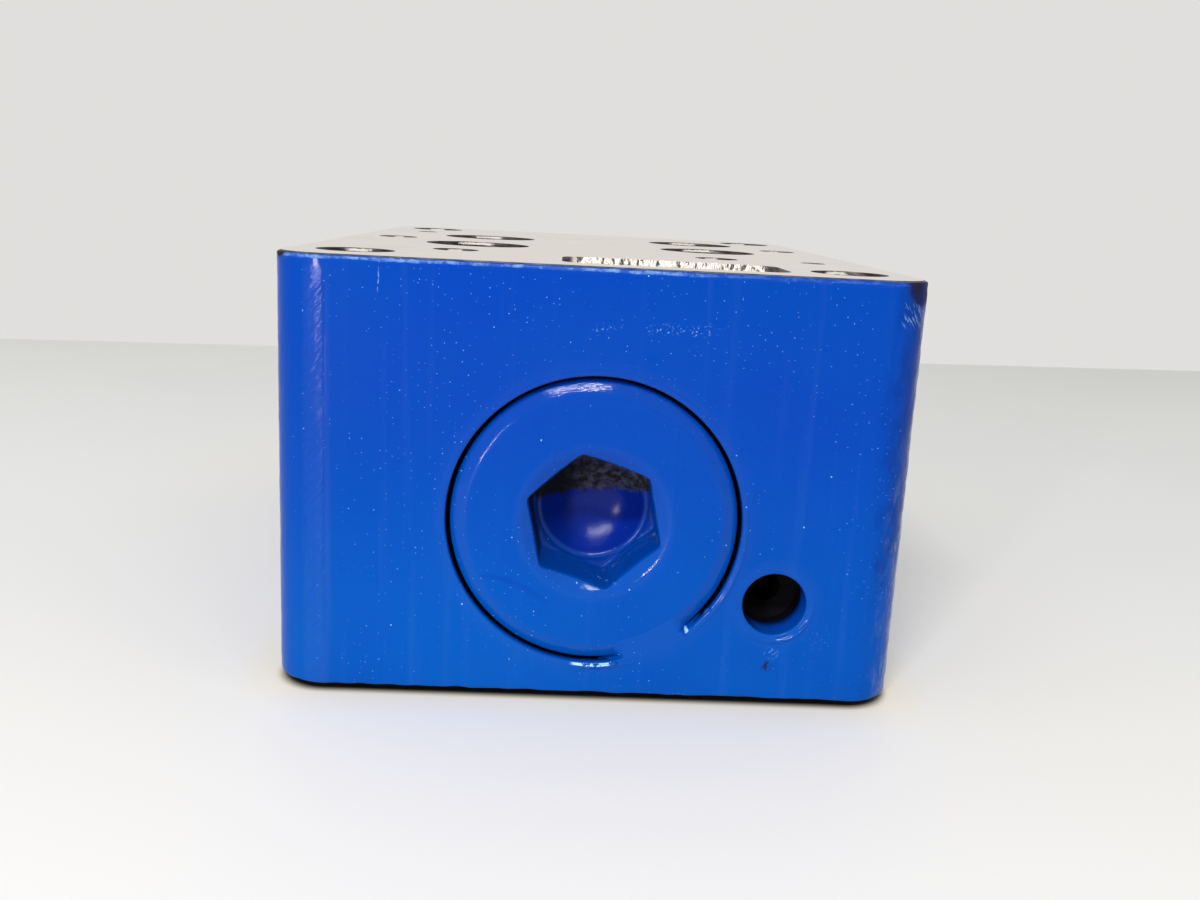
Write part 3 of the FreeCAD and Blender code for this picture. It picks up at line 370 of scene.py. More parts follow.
def plugFinish():
    f = Finish("plugEnamel")
    base, dust, brush = paintColour(f, 0.5)
    depth = boreLook["end"] - f.y.size()
    radius = radialPlace(f, 0.0, boreLook["spoolZ"])
    inside = f.mask(depth, 1.0, 2.6) * (1 - f.mask(radius, 10.0, 10.4))
    # painted shade: the upper half of the socket, whose walls and floor face down, is painted dark, with
    # grey mottling towards the right
    mottle = f.noise(0.9, 5.0, 0.7)
    deep = f.mask(depth, 9.0, 9.4)
    wallFacing = f.nz * 0.95 - f.nx * 0.32 + (f.noise(0.45, 3.0) - 0.5) * 0.30
    border = (f.x * 0.09 + 26.1 - f.z + (f.noise(0.5, 4.0) - 0.5) * 2.6) * 0.12 + 0.02
    facing = wallFacing * (1 - deep) + border * deep
    paintedHollowShade = inside * (1 - f.mask(facing, -0.10, 0.06))
    lit = f.mask(f.x + (f.noise(0.4, 2.0) - 0.5) * 5.0, -5.0, -1.0)
    dull = f.tint(f.mask(mottle, 0.36, 0.66) * lit, boreLook["dark"], boreLook["grey"])
    bowl = f.mask(depth, 9.6, 10.4) * inside
    # painted shade: the socket's inside a little darker, and the enamel pooled in the drilled hollow deep
    # dark blue
    base = f.tint(inside * 0.12, base, enamelLook["socket"])
    base = f.tint(bowl * 0.80, base, enamelLook["poolShade"])
    base = f.tint(paintedHollowShade, base, dull)
    # a faint crease in the enamel of the face, with painted shade along it
    creaseX, creaseZ = marks["shadedCrease"]
    along = (f.x - creaseX) * 0.932 - (f.z - creaseZ) * 0.362
    across = (f.x - creaseX) * 0.362 + (f.z - creaseZ) * 0.932
    across = (across + f.power(along - 4.5) * 0.03 - 0.5).size()
    shadedCrease = (1 - f.mask(across, 0.1, 0.7)) * f.between(along, 0.0, 9.0, 1.5) * (1 - inside)
    base = f.tint(shadedCrease * 0.25, base, enamelLook["shadedCrease"])
    bare = f.mask(depth, 2.2, 3.0) * f.mask(radius, 11.8, 12.2)
    turned = f.noise(1.0, 3.0, 0.6, f.stretch(0.2, 4.0, 0.2))
    base = f.tint(bare, base, f.tint(f.mask(turned, 0.3, 0.7), (0.30, 0.30, 0.31), (0.45, 0.45, 0.46)))
    rough = f.mask(f.noise(0.3, 3.0), 0.2, 0.8) * 0.05 + 0.12
    rough = rough + paintedHollowShade * 0.38 + dust * 0.3 + bare * 0.2 + bowl * 0.03
    # streaks that run round the rim
    angle = f.add("ShaderNodeMath", {"operation": "ARCTAN2"}, {0: f.z - boreLook["spoolZ"], 1: f.x})
    rim = f.mask(radius, 17.0, 18.6)
    streaks = f.noise(1.0, 3.0, 0.6, f.vector(angle * 5.0, radius * 1.6, 0.0))
    height = brush * 0.008 + mottle * paintedHollowShade * 0.08 + f.noise(1.6, 2.0) * 0.003
    height = height + streaks * rim * 0.05 - shadedCrease * 0.05
    height = height + f.noise(3.2, 3.0, 0.7) * bowl * (1 - paintedHollowShade) * 0.022
    height = height + f.noise(1.1, 3.0, 0.6) * f.between(radius, 8.4, 10.8, 0.3) * 0.045
    edges = rim.greater(1 - f.mask(radius, 10.2, 11.8)) * (1 - paintedHollowShade * 0.8) * (1 - bowl * 0.35)
    return f.close({"Base Color": base, "Roughness": rough, "Metallic": bare, "IOR": 1.45,
                    "Normal": f.bump(height), "Specular IOR Level": enamelLook["faceSpecular"]},
                   {"Specular IOR Level": enamelLook["edgeSpecular"],
                    "Roughness": bowl * 0.10 + enamelLook["edgeRoughness"]}, edges)


def castingMetal():
    f = Finish("castingMetal")
    inner = f.between(f.z, 2.7, 56.8, 0.2)
    level = f.mask(f.nz.size(), 0.9, 0.98) * (1 - inner)
    lapped = f.noise(1.0, 4.0, 0.6, f.stretch(0.12, 2.6, 1.0))
    ground = f.tint(f.mask(lapped, 0.3, 0.7), (0.83, 0.77, 0.72), (0.93, 0.87, 0.82))
    stain = f.noise(0.05, 4.0, 0.6)
    ground = f.tint(f.mask(stain, 0.5, 0.75) * 0.25, ground, (0.58, 0.53, 0.50))
    # drilled and cored walls
    turned = f.noise(1.0, 3.0, 0.6, f.stretch(0.5, 0.5, 3.0))
    bare = f.tint(f.mask(turned, 0.3, 0.7), (0.07, 0.068, 0.065), (0.20, 0.19, 0.18))
    # painted reflection: the far wall of the milled pocket is given bright stripes along the marks of the
    # cutter, which are also bumped
    farWall = f.mask(0 - f.ny, 0.45, 0.75)
    pocket = farWall * f.between(f.z, 57.1, 60.5, 0.1)
    pocket = pocket * f.between(f.y, -43.0, -39.5, 0.2) * f.between(f.x, -4.5, 24.6, 0.5)
    chatter = f.noise(1.0, 3.0, 0.6, f.stretch(1.7, 0.4, 0.6))
    bare = f.tint(pocket * f.mask(chatter, 0.40, 0.47), bare, (0.95, 0.91, 0.84))
    # painted highlight: the uppermost part of each hole's far wall is painted bright cream, and not metal
    inPocket = f.between(f.y, -57.5, -39.0, 0.3) * f.between(f.x, -7.0, 27.0, 0.3)
    holeHighlight = f.mask(0 - f.ny + f.nx * 0.12 + (f.noise(1.4, 3.0) - 0.5) * 0.12, 0.935, 0.985)
    holeHighlight = holeHighlight * f.between(f.z + (f.noise(2.0, 3.0) - 0.5) * 0.3, 59.50, 59.86, 0.06)
    holeHighlight = holeHighlight * (1 - inPocket)
    bare = f.tint(holeHighlight, bare, (1.0, 0.95, 0.86))
    # painted shade: black inside the front drilling and the ring gap, with enamel blue where the spray
    # reached in, fading into the black with depth
    tap = radialPlace(f, boreLook["tapX"], boreLook["tapZ"])
    spool = radialPlace(f, 0.0, boreLook["spoolZ"])
    depth = boreLook["end"] - f.y.size()
    front = 1 - f.mask(f.y, -40.0, -39.0)
    inTap = front * (1 - f.mask(tap, 5.2, 5.4))
    inGap = f.mask(spool, 18.0, 18.5) * (1 - f.mask(spool, 20.9, 21.0))
    foot = 1 - f.mask(f.z, 0.9, 1.2)  # the lower border in the casting's own shadow
    paintedShadeMask = inTap.greater(inGap * f.mask(f.y.size(), 50.0, 51.0)).greater(foot * (1 - level))
    bare = f.tint(paintedShadeMask, bare, boreLook["black"])
    facing = f.nz * 0.75 - f.nx * 0.65 + (f.noise(0.8, 3.0) - 0.5) * 0.5
    reach = depth + (f.noise(0.6, 3.0) - 0.5) * 2.0
    sprayed = inTap * f.mask(facing, 0.15, 0.85) * (1 - f.mask(reach, 2.6, 5.2))
    bare = f.tint(sprayed, bare, (0.0, 0.05, 0.42))
    base = f.tint(level, bare, ground)
    rough = f.tint(level, (0.42, 0.42, 0.42), (0.26, 0.26, 0.26))
    rough = f.split(rough)[0] + f.mask(lapped, 0.2, 0.8) * 0.08 + paintedShadeMask * 0.3
    metallic = (1 - paintedShadeMask) * (1 - holeHighlight) * (level * -0.08 + 1)
    normal = f.bump(lapped * level * 0.02 + turned * (1 - level) * 0.10 + pocket * chatter * 0.45)
    return f.close({"Base Color": base, "Metallic": metallic, "Roughness": rough,
                    "Normal": normal, "Specular IOR Level": 0.03})


def turnedSteel(name, light, dark, rough, metal=1.0):
    f = Finish(name)
    lines = f.noise(1.0, 4.0, 0.6, f.stretch(0.2, 6.0, 0.2))
    base = f.tint(f.mask(lines, 0.3, 0.7), dark, light)
    rough = f.mask(lines, 0.2, 0.8) * 0.1 + rough
    return f.close({"Base Color": base, "Metallic": metal, "Roughness": rough,
                    "Specular IOR Level": 0.3, "Normal": f.bump(lines * 0.01)})


def rubber():
    f = Finish("sealRubber")
    grain = f.noise(3.0, 3.0)
    base = f.tint(f.mask(grain, 0.3, 0.7), (0.012, 0.012, 0.013), (0.03, 0.03, 0.032))
    return f.close({"Base Color": base, "Roughness": f.mask(grain, 0.2, 0.8) * 0.15 + 0.5,
                    "Normal": f.bump(grain * 0.015)})


blueEnamel = filmEnamel()
# painted shade: near-black steel for the ball in the shaded end of the small drilling
shadedSteel = turnedSteel("shadedSteel", (0.012, 0.012, 0.014), (0.004, 0.004, 0.005), 0.6, 0.0)
slotFinish = {
    "painted_casting": castingMetal(),
    "painted_plug": plugFinish(),
    "hardened_steel": turnedSteel("hardenedSteel", (0.62, 0.62, 0.63), (0.48, 0.48, 0.50), 0.18),
    "plain_steel": turnedSteel("plainSteel", (0.45, 0.45, 0.46), (0.30, 0.30, 0.31), 0.32),
    "spring_steel": turnedSteel("springSteel", (0.16, 0.16, 0.17), (0.08, 0.08, 0.09), 0.35),
    "seal_rubber": rubber(),
}
slotNodes = {
    "painted_casting": ["valve_body"],
    "painted_plug": ["front_screw_plug", "rear_screw_plug"],
    "hardened_steel": ["compensator_spool", "shuttle_cage", "shuttle_seat", "shuttle_ball"],
    "plain_steel": ["spool_orifice", "spring_plate", "preload_shim", "shuttle_bore_plug"],
    "spring_steel": ["compression_spring"],
}
nodeSlots = {name: slot for slot, group in slotNodes.items() for name in group}
for name, node in nodes.items():
    finish = slotFinish[nodeSlots.get(name, "seal_rubber")]
    # painted shade: the closing ball gets near-black steel
    if name == "tap_closing_ball":
        finish = shadedSteel  # it sits in the dark end of the small drilling
    node.data.materials.clear()
    node.data.materials.append(finish)
print("finishes made")


def faceOut(bm):
    bmesh.ops.recalc_face_normals(bm, faces=bm.faces)


def toMetres(bm):
    bmesh.ops.scale(bm, vec=(mm, mm, mm), verts=bm.verts)


def rotate(bm, verts, angle, axis):
    bmesh.ops.rotate(bm, cent=(0, 0, 0), matrix=Matrix.Rotation(angle, 3, axis), verts=verts)


def cutOff(bm, place, side):
    # takes away what lies beyond a plane across Y: side is 1 or -1
    return bmesh.ops.bisect_plane(bm, geom=bm.verts[:] + bm.edges[:] + bm.faces[:], dist=1e-4,
                                  plane_co=(0, place, 0), plane_no=(0, side, 0),
                                  clear_outer=True)["geom_cut"]


def keep(bm, name, slot, material=None, body="housing"):
    # makes the mesh an object of the scene that rides with a body
    mesh = bpy.data.meshes.new(name)
    bm.to_mesh(mesh)
    bm.free()
    mesh.shade_smooth()
    mesh.materials.append(material or slotFinish[slot])
    piece = bpy.data.objects.new(name, mesh)
    scene.collection.objects.link(piece)
    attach(piece, body)
    return piece


# the coat of enamel on the casting's four sides
casting = {"width": 88.5, "length": 126.0, "corner": 7.0, "bore": 25.0}
flatX = casting["width"] / 2 - casting["corner"]
flatY = casting["length"] / 2 - casting["corner"]
film = {
    "thickness": 0.14,
    "wall": 0.3,
    "topLine": 59.45,
    "bottomLine": 0.50,
    "cornerSteps": 16,
    "heightCuts": 94,
    "frontCuts": 128,
    "rearCuts": 90,
    "sideCuts": 28,
    "smallHole": 10.0,  # holes below this radius get a finer grid
    "trim": 0.15,
    "catch": 0.9,
    "relaxed": 2.5,
    "relaxRounds": 5,
}
# rings of a hole's rim: distance outside its edge, height over the coat, and share of the ridge
softRim = [
    (0.97, 0.0, 0.03), (0.89, 0.0, 0.09), (0.80, 0.01, 0.145), (0.72, 0.01, 0.165),
    (0.63, 0.01, 0.152), (0.54, 0.0, 0.115), (0.44, 0.0, 0.070), (0.35, -0.005, 0.032),
    (0.27, -0.015, 0.01), (0.18, -0.04, 0.0), (0.09, -0.09, 0.0), (0.02, -0.22, 0.0),
    (0.0, -0.6, 0.0), (0.0, -1.5, 0.0),
]
drilledRim = [
    (0.70, 0.0, 0.02), (0.58, 0.0, 0.08), (0.46, 0.0, 0.145), (0.35, 0.0, 0.170),
    (0.24, 0.0, 0.145), (0.12, 0.0, 0.085), (0.0, -0.005, 0.03), (-0.12, -0.015, 0.0),
    (-0.24, -0.03, 0.0), (-0.36, -0.055, 0.0), (-0.47, -0.09, 0.0), (-0.56, -0.14, 0.0),
    (-0.61, -0.25, 0.0), (-0.63, -0.5, 0.0), (-0.63, -0.9, 0.0), (-0.63, -1.6, 0.0),
    (-0.63, -2.6, 0.0), (-0.63, -3.8, 0.0), (-0.63, -5.2, 0.0),
]


def plugGap(angle):
    # width of the open ring gap, by the angle from the right hand side
    left = 0.5 - 0.5 * math.cos(angle)
    low = max(0.0, -math.sin(angle))
    lowLeft = max(0.0, math.cos(angle - math.radians(232))) ** 2
    return 0.42 + 0.06 * left - 0.10 * low - 0.10 * lowLeft


def plugRidge(angle):
    # how far the enamel stands up beside the gap: most on the right and below
    degrees = math.degrees(angle)
    right = max(0.0, 1 - abs(degrees + 16) / 34)
    below = max(0.0, 1 - abs(degrees + 84) / 14)
    return min(1.0, 1.8 * right) + min(1.5, 3.0 * below) + 0.10


def evenGap(angle):
    return 0.0


def tapRidge(angle):
    # the enamel gathered on the lower right of the small drilling's mouth
    return 2.0 * max(0.0, math.cos(angle + math.radians(62)))


# end: -1 is the front. The coat is cut at start outside the hole's edge, and the rim goes on from there
filmHoles = [
    {"x": 0.0, "z": 25.0, "end": -1, "edge": 20.02, "start": 1.05,
     "gap": plugGap, "ridge": plugRidge, "rim": softRim},
    {"x": 0.0, "z": 25.0, "end": 1, "edge": 20.48, "start": 1.05,
     "gap": evenGap, "ridge": evenGap, "rim": softRim},
    {"x": 25.8, "z": 14.3, "end": -1, "edge": 5.1, "start": 0.78,
     "gap": evenGap, "ridge": tapRidge, "rim": drilledRim},
    {"x": -22.0, "z": 44.0, "end": 1, "edge": 5.1, "start": 1.05,
     "gap": evenGap, "ridge": evenGap, "rim": softRim},
]


def isLengthways(edge, axis):
    run = edge.verts[1].co - edge.verts[0].co
    return abs(run[axis]) > 0.9 * run.length


def outwardAt(at):
    # straight out of the casting's side, also round its corners
    away = Vector((at.x - min(flatX, max(-flatX, at.x)), at.y - min(flatY, max(-flatY, at.y)), 0))
    return away.normalized()


def coatHeight(at):
    wave = noise.noise(at * 0.06)
    strokes = noise.noise(Vector((at.x * 0.35, at.y * 0.35, at.z * 0.02)))
    rough = noise.noise(at * 0.36) + 0.75 * noise.noise(at * 0.8)
    side = min(1.0, max(0.0, (abs(at.x) - 39.5) / 4.0)) * (1.0 if at.x > 0 else 0.5)
    nibX, nibZ = marks["nib"]
    nib = math.exp(-((at.x - nibX) ** 2 + (at.z - nibZ) ** 2) / 0.35) if at.y < -62 else 0.0
    away = at - Vector(marks["chip"])
    knock = math.sqrt(0.6 * (away.x ** 2 + away.y ** 2) + away.z ** 2) + 1.1 * noise.noise(at * 1.3)
    chipped = 0.07 if knock < 2.2 else 0.0
    height = film["thickness"] + 0.022 * wave + 0.004 * strokes + 0.085 * rough * side
    return height + 0.22 * nib - chipped


def filmWalls(end):
    # half of the belt round the casting, up to the middle of its long sides
    bm = bmesh.new()
    bmesh.ops.create_cube(bm, size=1.0)
    bmesh.ops.scale(bm, vec=(casting["width"], casting["length"], film["topLine"] - film["bottomLine"]),
                    verts=bm.verts)
    bmesh.ops.translate(bm, vec=(0, 0, (film["topLine"] + film["bottomLine"]) / 2), verts=bm.verts)
    bmesh.ops.delete(bm, geom=[f for f in bm.faces if abs(f.normal.z) > 0.5], context="FACES_ONLY")
    uprights = [e for e in bm.edges if isLengthways(e, 2)]
    bmesh.ops.bevel(bm, geom=uprights, offset=casting["corner"], offset_type="OFFSET", affect="EDGES",
                    segments=film["cornerSteps"], profile=0.5, material=-1)
    cutOff(bm, 0, -end)
    bmesh.ops.subdivide_edges(bm, edges=[e for e in bm.edges if isLengthways(e, 2)],
                              cuts=film["heightCuts"], use_grid_fill=True)
    cuts = film["frontCuts"] if end < 0 else film["rearCuts"]
    for axis, number in ((0, cuts), (1, film["sideCuts"])):
        long = [e for e in bm.edges if isLengthways(e, axis) and e.calc_length() > casting["corner"]]
        bmesh.ops.subdivide_edges(bm, edges=long, cuts=number, use_grid_fill=True)
    return bm


def refine(bm, hole):
    # halves the grid about a small hole
    centre = Vector((hole["x"], hole["end"] * casting["length"] / 2, hole["z"]))
    close = [f for f in bm.faces if (f.calc_center_median() - centre).length < hole["edge"] + 2.2]
    edges = list({e for f in close for e in f.edges})
    bmesh.ops.subdivide_edges(bm, edges=edges, cuts=1, use_grid_fill=True)


def openHole(bm, hole, held):
    # takes the coat away over a hole and moves its edge onto a circle
    face = hole["end"] * casting["length"] / 2
    centre = Vector((hole["x"], face, hole["z"]))

    def reach(at):
        angle = math.atan2(at.z - centre.z, at.x - centre.x)
        return hole["edge"] + hole["gap"](angle) + hole["start"]

    near = [v for v in bm.verts if abs(v.co.y - face) < 0.01]
    gone = [v for v in near if (v.co - centre).length < reach(v.co) - film["trim"]]
    bmesh.ops.delete(bm, geom=gone, context="VERTS")
    around = [e for e in bm.edges if e.is_boundary and abs(e.verts[0].co.y - face) < 0.01
              and all((v.co - centre).length < reach(v.co) + film["catch"] and v not in held
                      for v in e.verts)]
    rim = {v for e in around for v in e.verts}
    for v in rim:
        v.co = centre + (v.co - centre).normalized() * reach(v.co)
    held.update(rim)
    ring = [v for v in bm.verts if abs(v.co.y - face) < 0.01 and v not in held and not v.is_boundary
            and (v.co - centre).length < reach(v.co) + film["relaxed"]]
    for _ in range(film["relaxRounds"]):
        bmesh.ops.smooth_vert(bm, verts=ring, factor=0.5, use_axis_x=True, use_axis_z=True)
    return around


def rollEdge(bm, around, hole):
    # carries the coat over the edge of a hole, ring by ring
    face = hole["end"] * casting["length"] / 2
    for offset, lift, ridge in hole["rim"]:
        grown = bmesh.ops.extrude_edge_only(bm, edges=around)["geom"]
        around = [g for g in grown if isinstance(g, bmesh.types.BMEdge) and g.is_boundary]
        for v in {v for e in around for v in e.verts}:
            angle = math.atan2(v.co.z - hole["z"], v.co.x - hole["x"])
            radius = hole["edge"] + hole["gap"](angle) + offset
            v.co.x = hole["x"] + radius * math.cos(angle)
            v.co.z = hole["z"] + radius * math.sin(angle)
            height = coatHeight(Vector((v.co.x, face, v.co.z))) + lift
            height += ridge * hole["ridge"](angle) * (0.75 + 0.5 * noise.noise(v.co * 0.7))
            v.co.y = face + hole["end"] * height


def rollBorder(bm, upper):
    # rounds the coat off along its upper or lower border
    line = film["topLine"] if upper else film["bottomLine"]
    steps = ((0.13, -0.03), (0.24, -0.08), (0.33, -0.16), (0.38, -0.28)) if upper else \
        ((-0.12, -0.03), (-0.22, -0.10), (-0.26, -0.22), (-0.26, -0.36))
    around = [e for e in bm.edges if e.is_boundary and all(abs(v.co.z - line) < 1e-3 for v in e.verts)]
    for rise, drop in steps:
        grown = bmesh.ops.extrude_edge_only(bm, edges=around)["geom"]
        around = [g for g in grown if isinstance(g, bmesh.types.BMEdge) and g.is_boundary
                  and abs(g.verts[0].co.z - g.verts[1].co.z) < 0.3]
        for v in {v for e in around for v in e.verts}:
            ragged = 0.10 * noise.noise(Vector((v.co.x, v.co.y, line)) * 0.5)
            v.co.z = line + rise + (0.5 * ragged if upper else 1.6 * ragged)
            v.co += outwardAt(v.co) * drop * 0.5
    return around


def halfFilm(end):
    bm = filmWalls(end)
    held = set()
    for hole in filmHoles:
        if hole["end"] == end and hole["edge"] < film["smallHole"]:
            refine(bm, hole)
    opened = [(openHole(bm, hole, held), hole) for hole in filmHoles if hole["end"] == end]
    faceOut(bm)
    for v in bm.verts:
        v.co += outwardAt(v.co) * coatHeight(v.co)
    for around, hole in opened:
        rollEdge(bm, around, hole)
    rollBorder(bm, True)
    rollBorder(bm, False)
    faceOut(bm)
    return bm


# the two halves are welded to one coat in the middle of the long sides
whole = halfFilm(-1)
rearHalf = halfFilm(1)
carrier = bpy.data.meshes.new("rear_half")
rearHalf.to_mesh(carrier)
rearHalf.free()
whole.from_mesh(carrier)
bpy.data.meshes.remove(carrier)
bmesh.ops.remove_doubles(whole, verts=[v for v in whole.verts if abs(v.co.y) < 0.01], dist=0.02)
faceOut(whole)
toMetres(whole)
coat = keep(whole, "enamel_coat", "painted_casting", blueEnamel)
wall = coat.modifiers.new("wall", "SOLIDIFY")
wall.thickness = film["wall"] * mm
wall.offset = -1.0
print("enamel coat", len(coat.data.polygons))


# screw plugs, turned and broached, with soft edges of enamel
plug = {
    "collar": 20.0,
    "collarDepth": 8.0,
    "mouth": 10.4,
    "lipWidth": 0.7,
    "coneSlope": 0.60,
    "halfFlats": 8.5,
    "socketDepth": 10.0,
    "edgeDepth": 0.55,
    "pilot": 8.1,
    "beadOut": 0.28,
    "bead": 1.0,
    "beadHeight": 0.17,
    "beadFall": 0.16,
    "poolTop": 0.18,
    "pool": 0.48,
    "floor": 4.0,
    "thread": 16.45,
    "threadLength": 18.0,
    "pitch": 2.0,
    "threadDepth": 0.9,
    "relief": 15.2,
    "reliefWidth": 3.0,
    "recess": 11.0,
    "recessDepth": 10.0,
    "steps": 168,
    "cornerSharpness": 46,
    "stepsFrom": 11.0,  # the socket's rings start as narrow steps in the face
    "stepWidth": 0.02,
}


def hexRadius(angle, turn):
    total = 0.0
    for side in range(6):
        reach = math.cos(angle - math.radians(turn + 30 + 60 * side)) / plug["halfFlats"]
        total += max(0.0, reach) ** plug["cornerSharpness"]
    return total ** (-1 / plug["cornerSharpness"])


# radius and depth of the rim from the collar's side to its face: a soft chamfer under the enamel
softChamfer = [
    (20.0, 1.9), (19.97, 1.5), (19.9, 1.22), (19.8, 1.03), (19.66, 0.90), (19.48, 0.79),
    (19.2, 0.645), (18.9, 0.495), (18.6, 0.35), (18.35, 0.235), (18.1, 0.135), (17.85, 0.06),
    (17.6, 0.015), (17.35, 0.0),
]


def plugProfile(withRecess):
    # (radius, depth from the outer face), from the inner end outwards and down into the socket
    end = plug["collarDepth"] + plug["threadLength"]
    reliefEnd = plug["collarDepth"] + plug["reliefWidth"]
    chamfer = 1.5
    points = [(0.0, end - plug["recessDepth"]), (plug["recess"], end - plug["recessDepth"]),
              (plug["recess"], end)] if withRecess else [(0.0, end)]
    points += [(plug["thread"] - chamfer, end), (plug["thread"], end - chamfer)]
    rings = int((end - chamfer - reliefEnd) / plug["pitch"] * 6)
    for i in range(1, rings):
        points.append((plug["thread"], end - chamfer - (end - chamfer - reliefEnd) * i / rings))
    points += [(plug["thread"], reliefEnd), (plug["relief"], reliefEnd - 0.4),
               (plug["relief"], plug["collarDepth"]), (plug["collar"] - 0.3, plug["collarDepth"]),
               (plug["collar"], plug["collarDepth"] - 0.3), (plug["collar"], 3.0)]
    points += softChamfer
    points += [(r, 0.0) for r in (17.0, 16.0, 14.5, 13.0, 12.0, 11.4)]
    return points


# parts of the socket from its mouth to its floor, and how far along each part its rings lie
socketParts = {
    "lip": (0.0, 0.2, 0.4, 0.6, 0.8),
    "cone": (0.0, 0.2, 0.4, 0.6, 0.8),
    "edge": (0.0, 0.3, 0.6, 0.9),
    "wall": (0.03, 0.07, 0.15, 0.3, 0.45, 0.6, 0.75, 0.88, 0.96),
    "foot": (0.0, 0.25, 0.5, 0.75, 1.0),
    "bead": (0.0, 0.12, 0.25, 0.38, 0.5, 0.62, 0.75, 0.88, 1.0),
    "bowl": (0.04, 0.08, 0.14, 0.22, 0.3, 0.4, 0.5, 0.6, 0.7, 0.8, 0.9),
}


def mouthDepth(radius):
    # shallow cone round the socket, blended softly into the face
    mouth, lip, slope = plug["mouth"], plug["lipWidth"], plug["coneSlope"]
    if radius > mouth - lip:
        return slope * (mouth + lip - radius) ** 2 / (4 * lip)
    return slope * (mouth - radius)


def socketPoint(kind, s, angle, turn):
    # radius and depth of a point of the socket, with the enamel's soft edges
    hexagon = hexRadius(angle, turn)
    soft = 0.22
    uneven = 0.10 * noise.noise(Vector((math.cos(angle), math.sin(angle), turn)) * 4.0)
    lipStart = plug["mouth"] + plug["lipWidth"]
    lipEnd = max(plug["mouth"] - plug["lipWidth"], hexagon + soft + 0.15)
    coneEnd = hexagon + soft
    if kind == "lip":
        radius = lipStart + (lipEnd - lipStart) * s
        return radius, mouthDepth(radius)
    if kind == "cone":
        radius = lipEnd + (coneEnd - lipEnd) * s
        return radius, mouthDepth(radius)
    drop = mouthDepth(coneEnd)
    if kind == "edge":
        radius = hexagon + soft * (1 - s) ** 2 + uneven * (1 - s)
        return radius, drop + plug["edgeDepth"] * s - uneven * (1 - s)
    top = drop + plug["edgeDepth"]
    bottom, fillet, inner = plug["socketDepth"], 0.4, plug["pilot"]
    if kind == "wall":
        return hexagon, top + (bottom - fillet - top) * s
    if kind == "foot":
        bend = math.radians(90 * s)
        reach = hexagon - fillet * (1 - math.cos(bend)) if s < 1 else inner + 0.55
        return max(inner + 0.30, min(reach, hexagon - 0.02)), bottom - fillet * (1 - math.sin(bend))
    outer = inner + plug["beadOut"]
    if kind == "bead":
        # enamel gathered on the edge of the drilled hollow
        lift = plug["beadHeight"] * math.sin(math.pi * s)
        return outer - plug["bead"] * s, bottom - lift + plug["beadFall"] * s
    # a drilled hollow with enamel pooled in it, flatter towards the right
    fall = 1 - (1 - s) ** (2 + 1.8 * max(0.0, math.cos(angle)) ** 2)
    deep = plug["floor"] - plug["pool"] - plug["poolTop"]
    return (outer - plug["bead"]) * (1 - s), bottom + plug["poolTop"] + deep * fall


def buildPlug(end, turn, withRecess):
    bm = bmesh.new()
    face = casting["length"] / 2
    fixed = plugProfile(withRecess)
    rings = [(kind, s) for kind, places in socketParts.items() for s in places]
    # narrow steps in the face, which are moved to the socket's rings below
    outermost, width = plug["stepsFrom"], plug["stepWidth"]
    dummies = [(outermost - width * (i + 1), 0.0) for i in range(len(rings))]
    profile = fixed + dummies + [(0.0, plug["socketDepth"] + plug["floor"] - plug["pool"])]
    verts = [bm.verts.new((r, -(face - d), 0)) for r, d in profile]
    edges = [bm.edges.new(pair) for pair in zip(verts, verts[1:])]
    bmesh.ops.spin(bm, geom=verts + edges, cent=(0, 0, 0), axis=(0, 1, 0), dvec=(0, 0, 0),
                   angle=2 * math.pi, steps=plug["steps"], use_merge=True, use_duplicate=False)
    bmesh.ops.remove_doubles(bm, verts=bm.verts, dist=1e-4)
    faceOut(bm)
    threadTop = plug["collarDepth"] + plug["reliefWidth"]
    threadEnd = plug["collarDepth"] + plug["threadLength"] - 1.5
    for v in bm.verts:
        radius = math.hypot(v.co.x, v.co.z)
        depth = v.co.y + face
        angle = math.atan2(v.co.z, v.co.x)
        ring = round((outermost - radius) / width) - 1
        if abs(depth) < 1e-3 and 0 <= ring < len(rings) and radius < outermost:
            radius, depth = socketPoint(*rings[ring], angle, turn)
        elif abs(radius - plug["thread"]) < 0.01 and threadTop <= depth <= threadEnd:
            phase = (depth / plug["pitch"] + angle / (2 * math.pi)) % 1.0
            radius -= plug["threadDepth"] * min(1.0, max(0.0, 1.1 - abs(4 * phase - 2)))
        v.co = Vector((radius * math.cos(angle), depth - face, radius * math.sin(angle)))
    if end > 0:
        rotate(bm, bm.verts, math.pi, "Z")
    bmesh.ops.translate(bm, vec=(0, 0, casting["bore"]), verts=bm.verts)
    toMetres(bm)
    return bm


frontPlug = keep(buildPlug(-1, 42.0, False), "front_plug_painted", "painted_plug")
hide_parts("front_screw_plug")
rearPlug = keep(buildPlug(1, 15.0, True), "rear_plug_painted", "painted_plug")
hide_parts("rear_screw_plug")
print("screw plugs", len(frontPlug.data.polygons))


# enamel that closed the ring gap below the plug, and drops that stayed beside it
bridge = {
    "from": -80.0,
    "to": -45.5,
    "ramp": 6.0,
    "point": 6.0,
    "inner": 16.9,
    "outer": 22.0,
    "wall": 0.25,
}
drops = [
    # angle and radius about the plug's axis, size along the gap, off the face and across the gap,
    # and height over the casting's face
    {"angle": -48.6, "radius": 20.36, "size": (0.34, 0.30, 0.28), "height": 0.32},
    {"angle": -36.3, "radius": 20.26, "size": (0.62, 0.24, 0.22), "height": 0.10},
    {"angle": -35.2, "radius": 20.52, "size": (0.36, 0.24, 0.20), "height": 0.26},
    {"angle": -84.8, "radius": 20.74, "size": (1.30, 0.26, 0.18), "height": 0.40},
    {"angle": -79.4, "radius": 20.66, "size": (0.46, 0.26, 0.26), "height": 0.36},
]


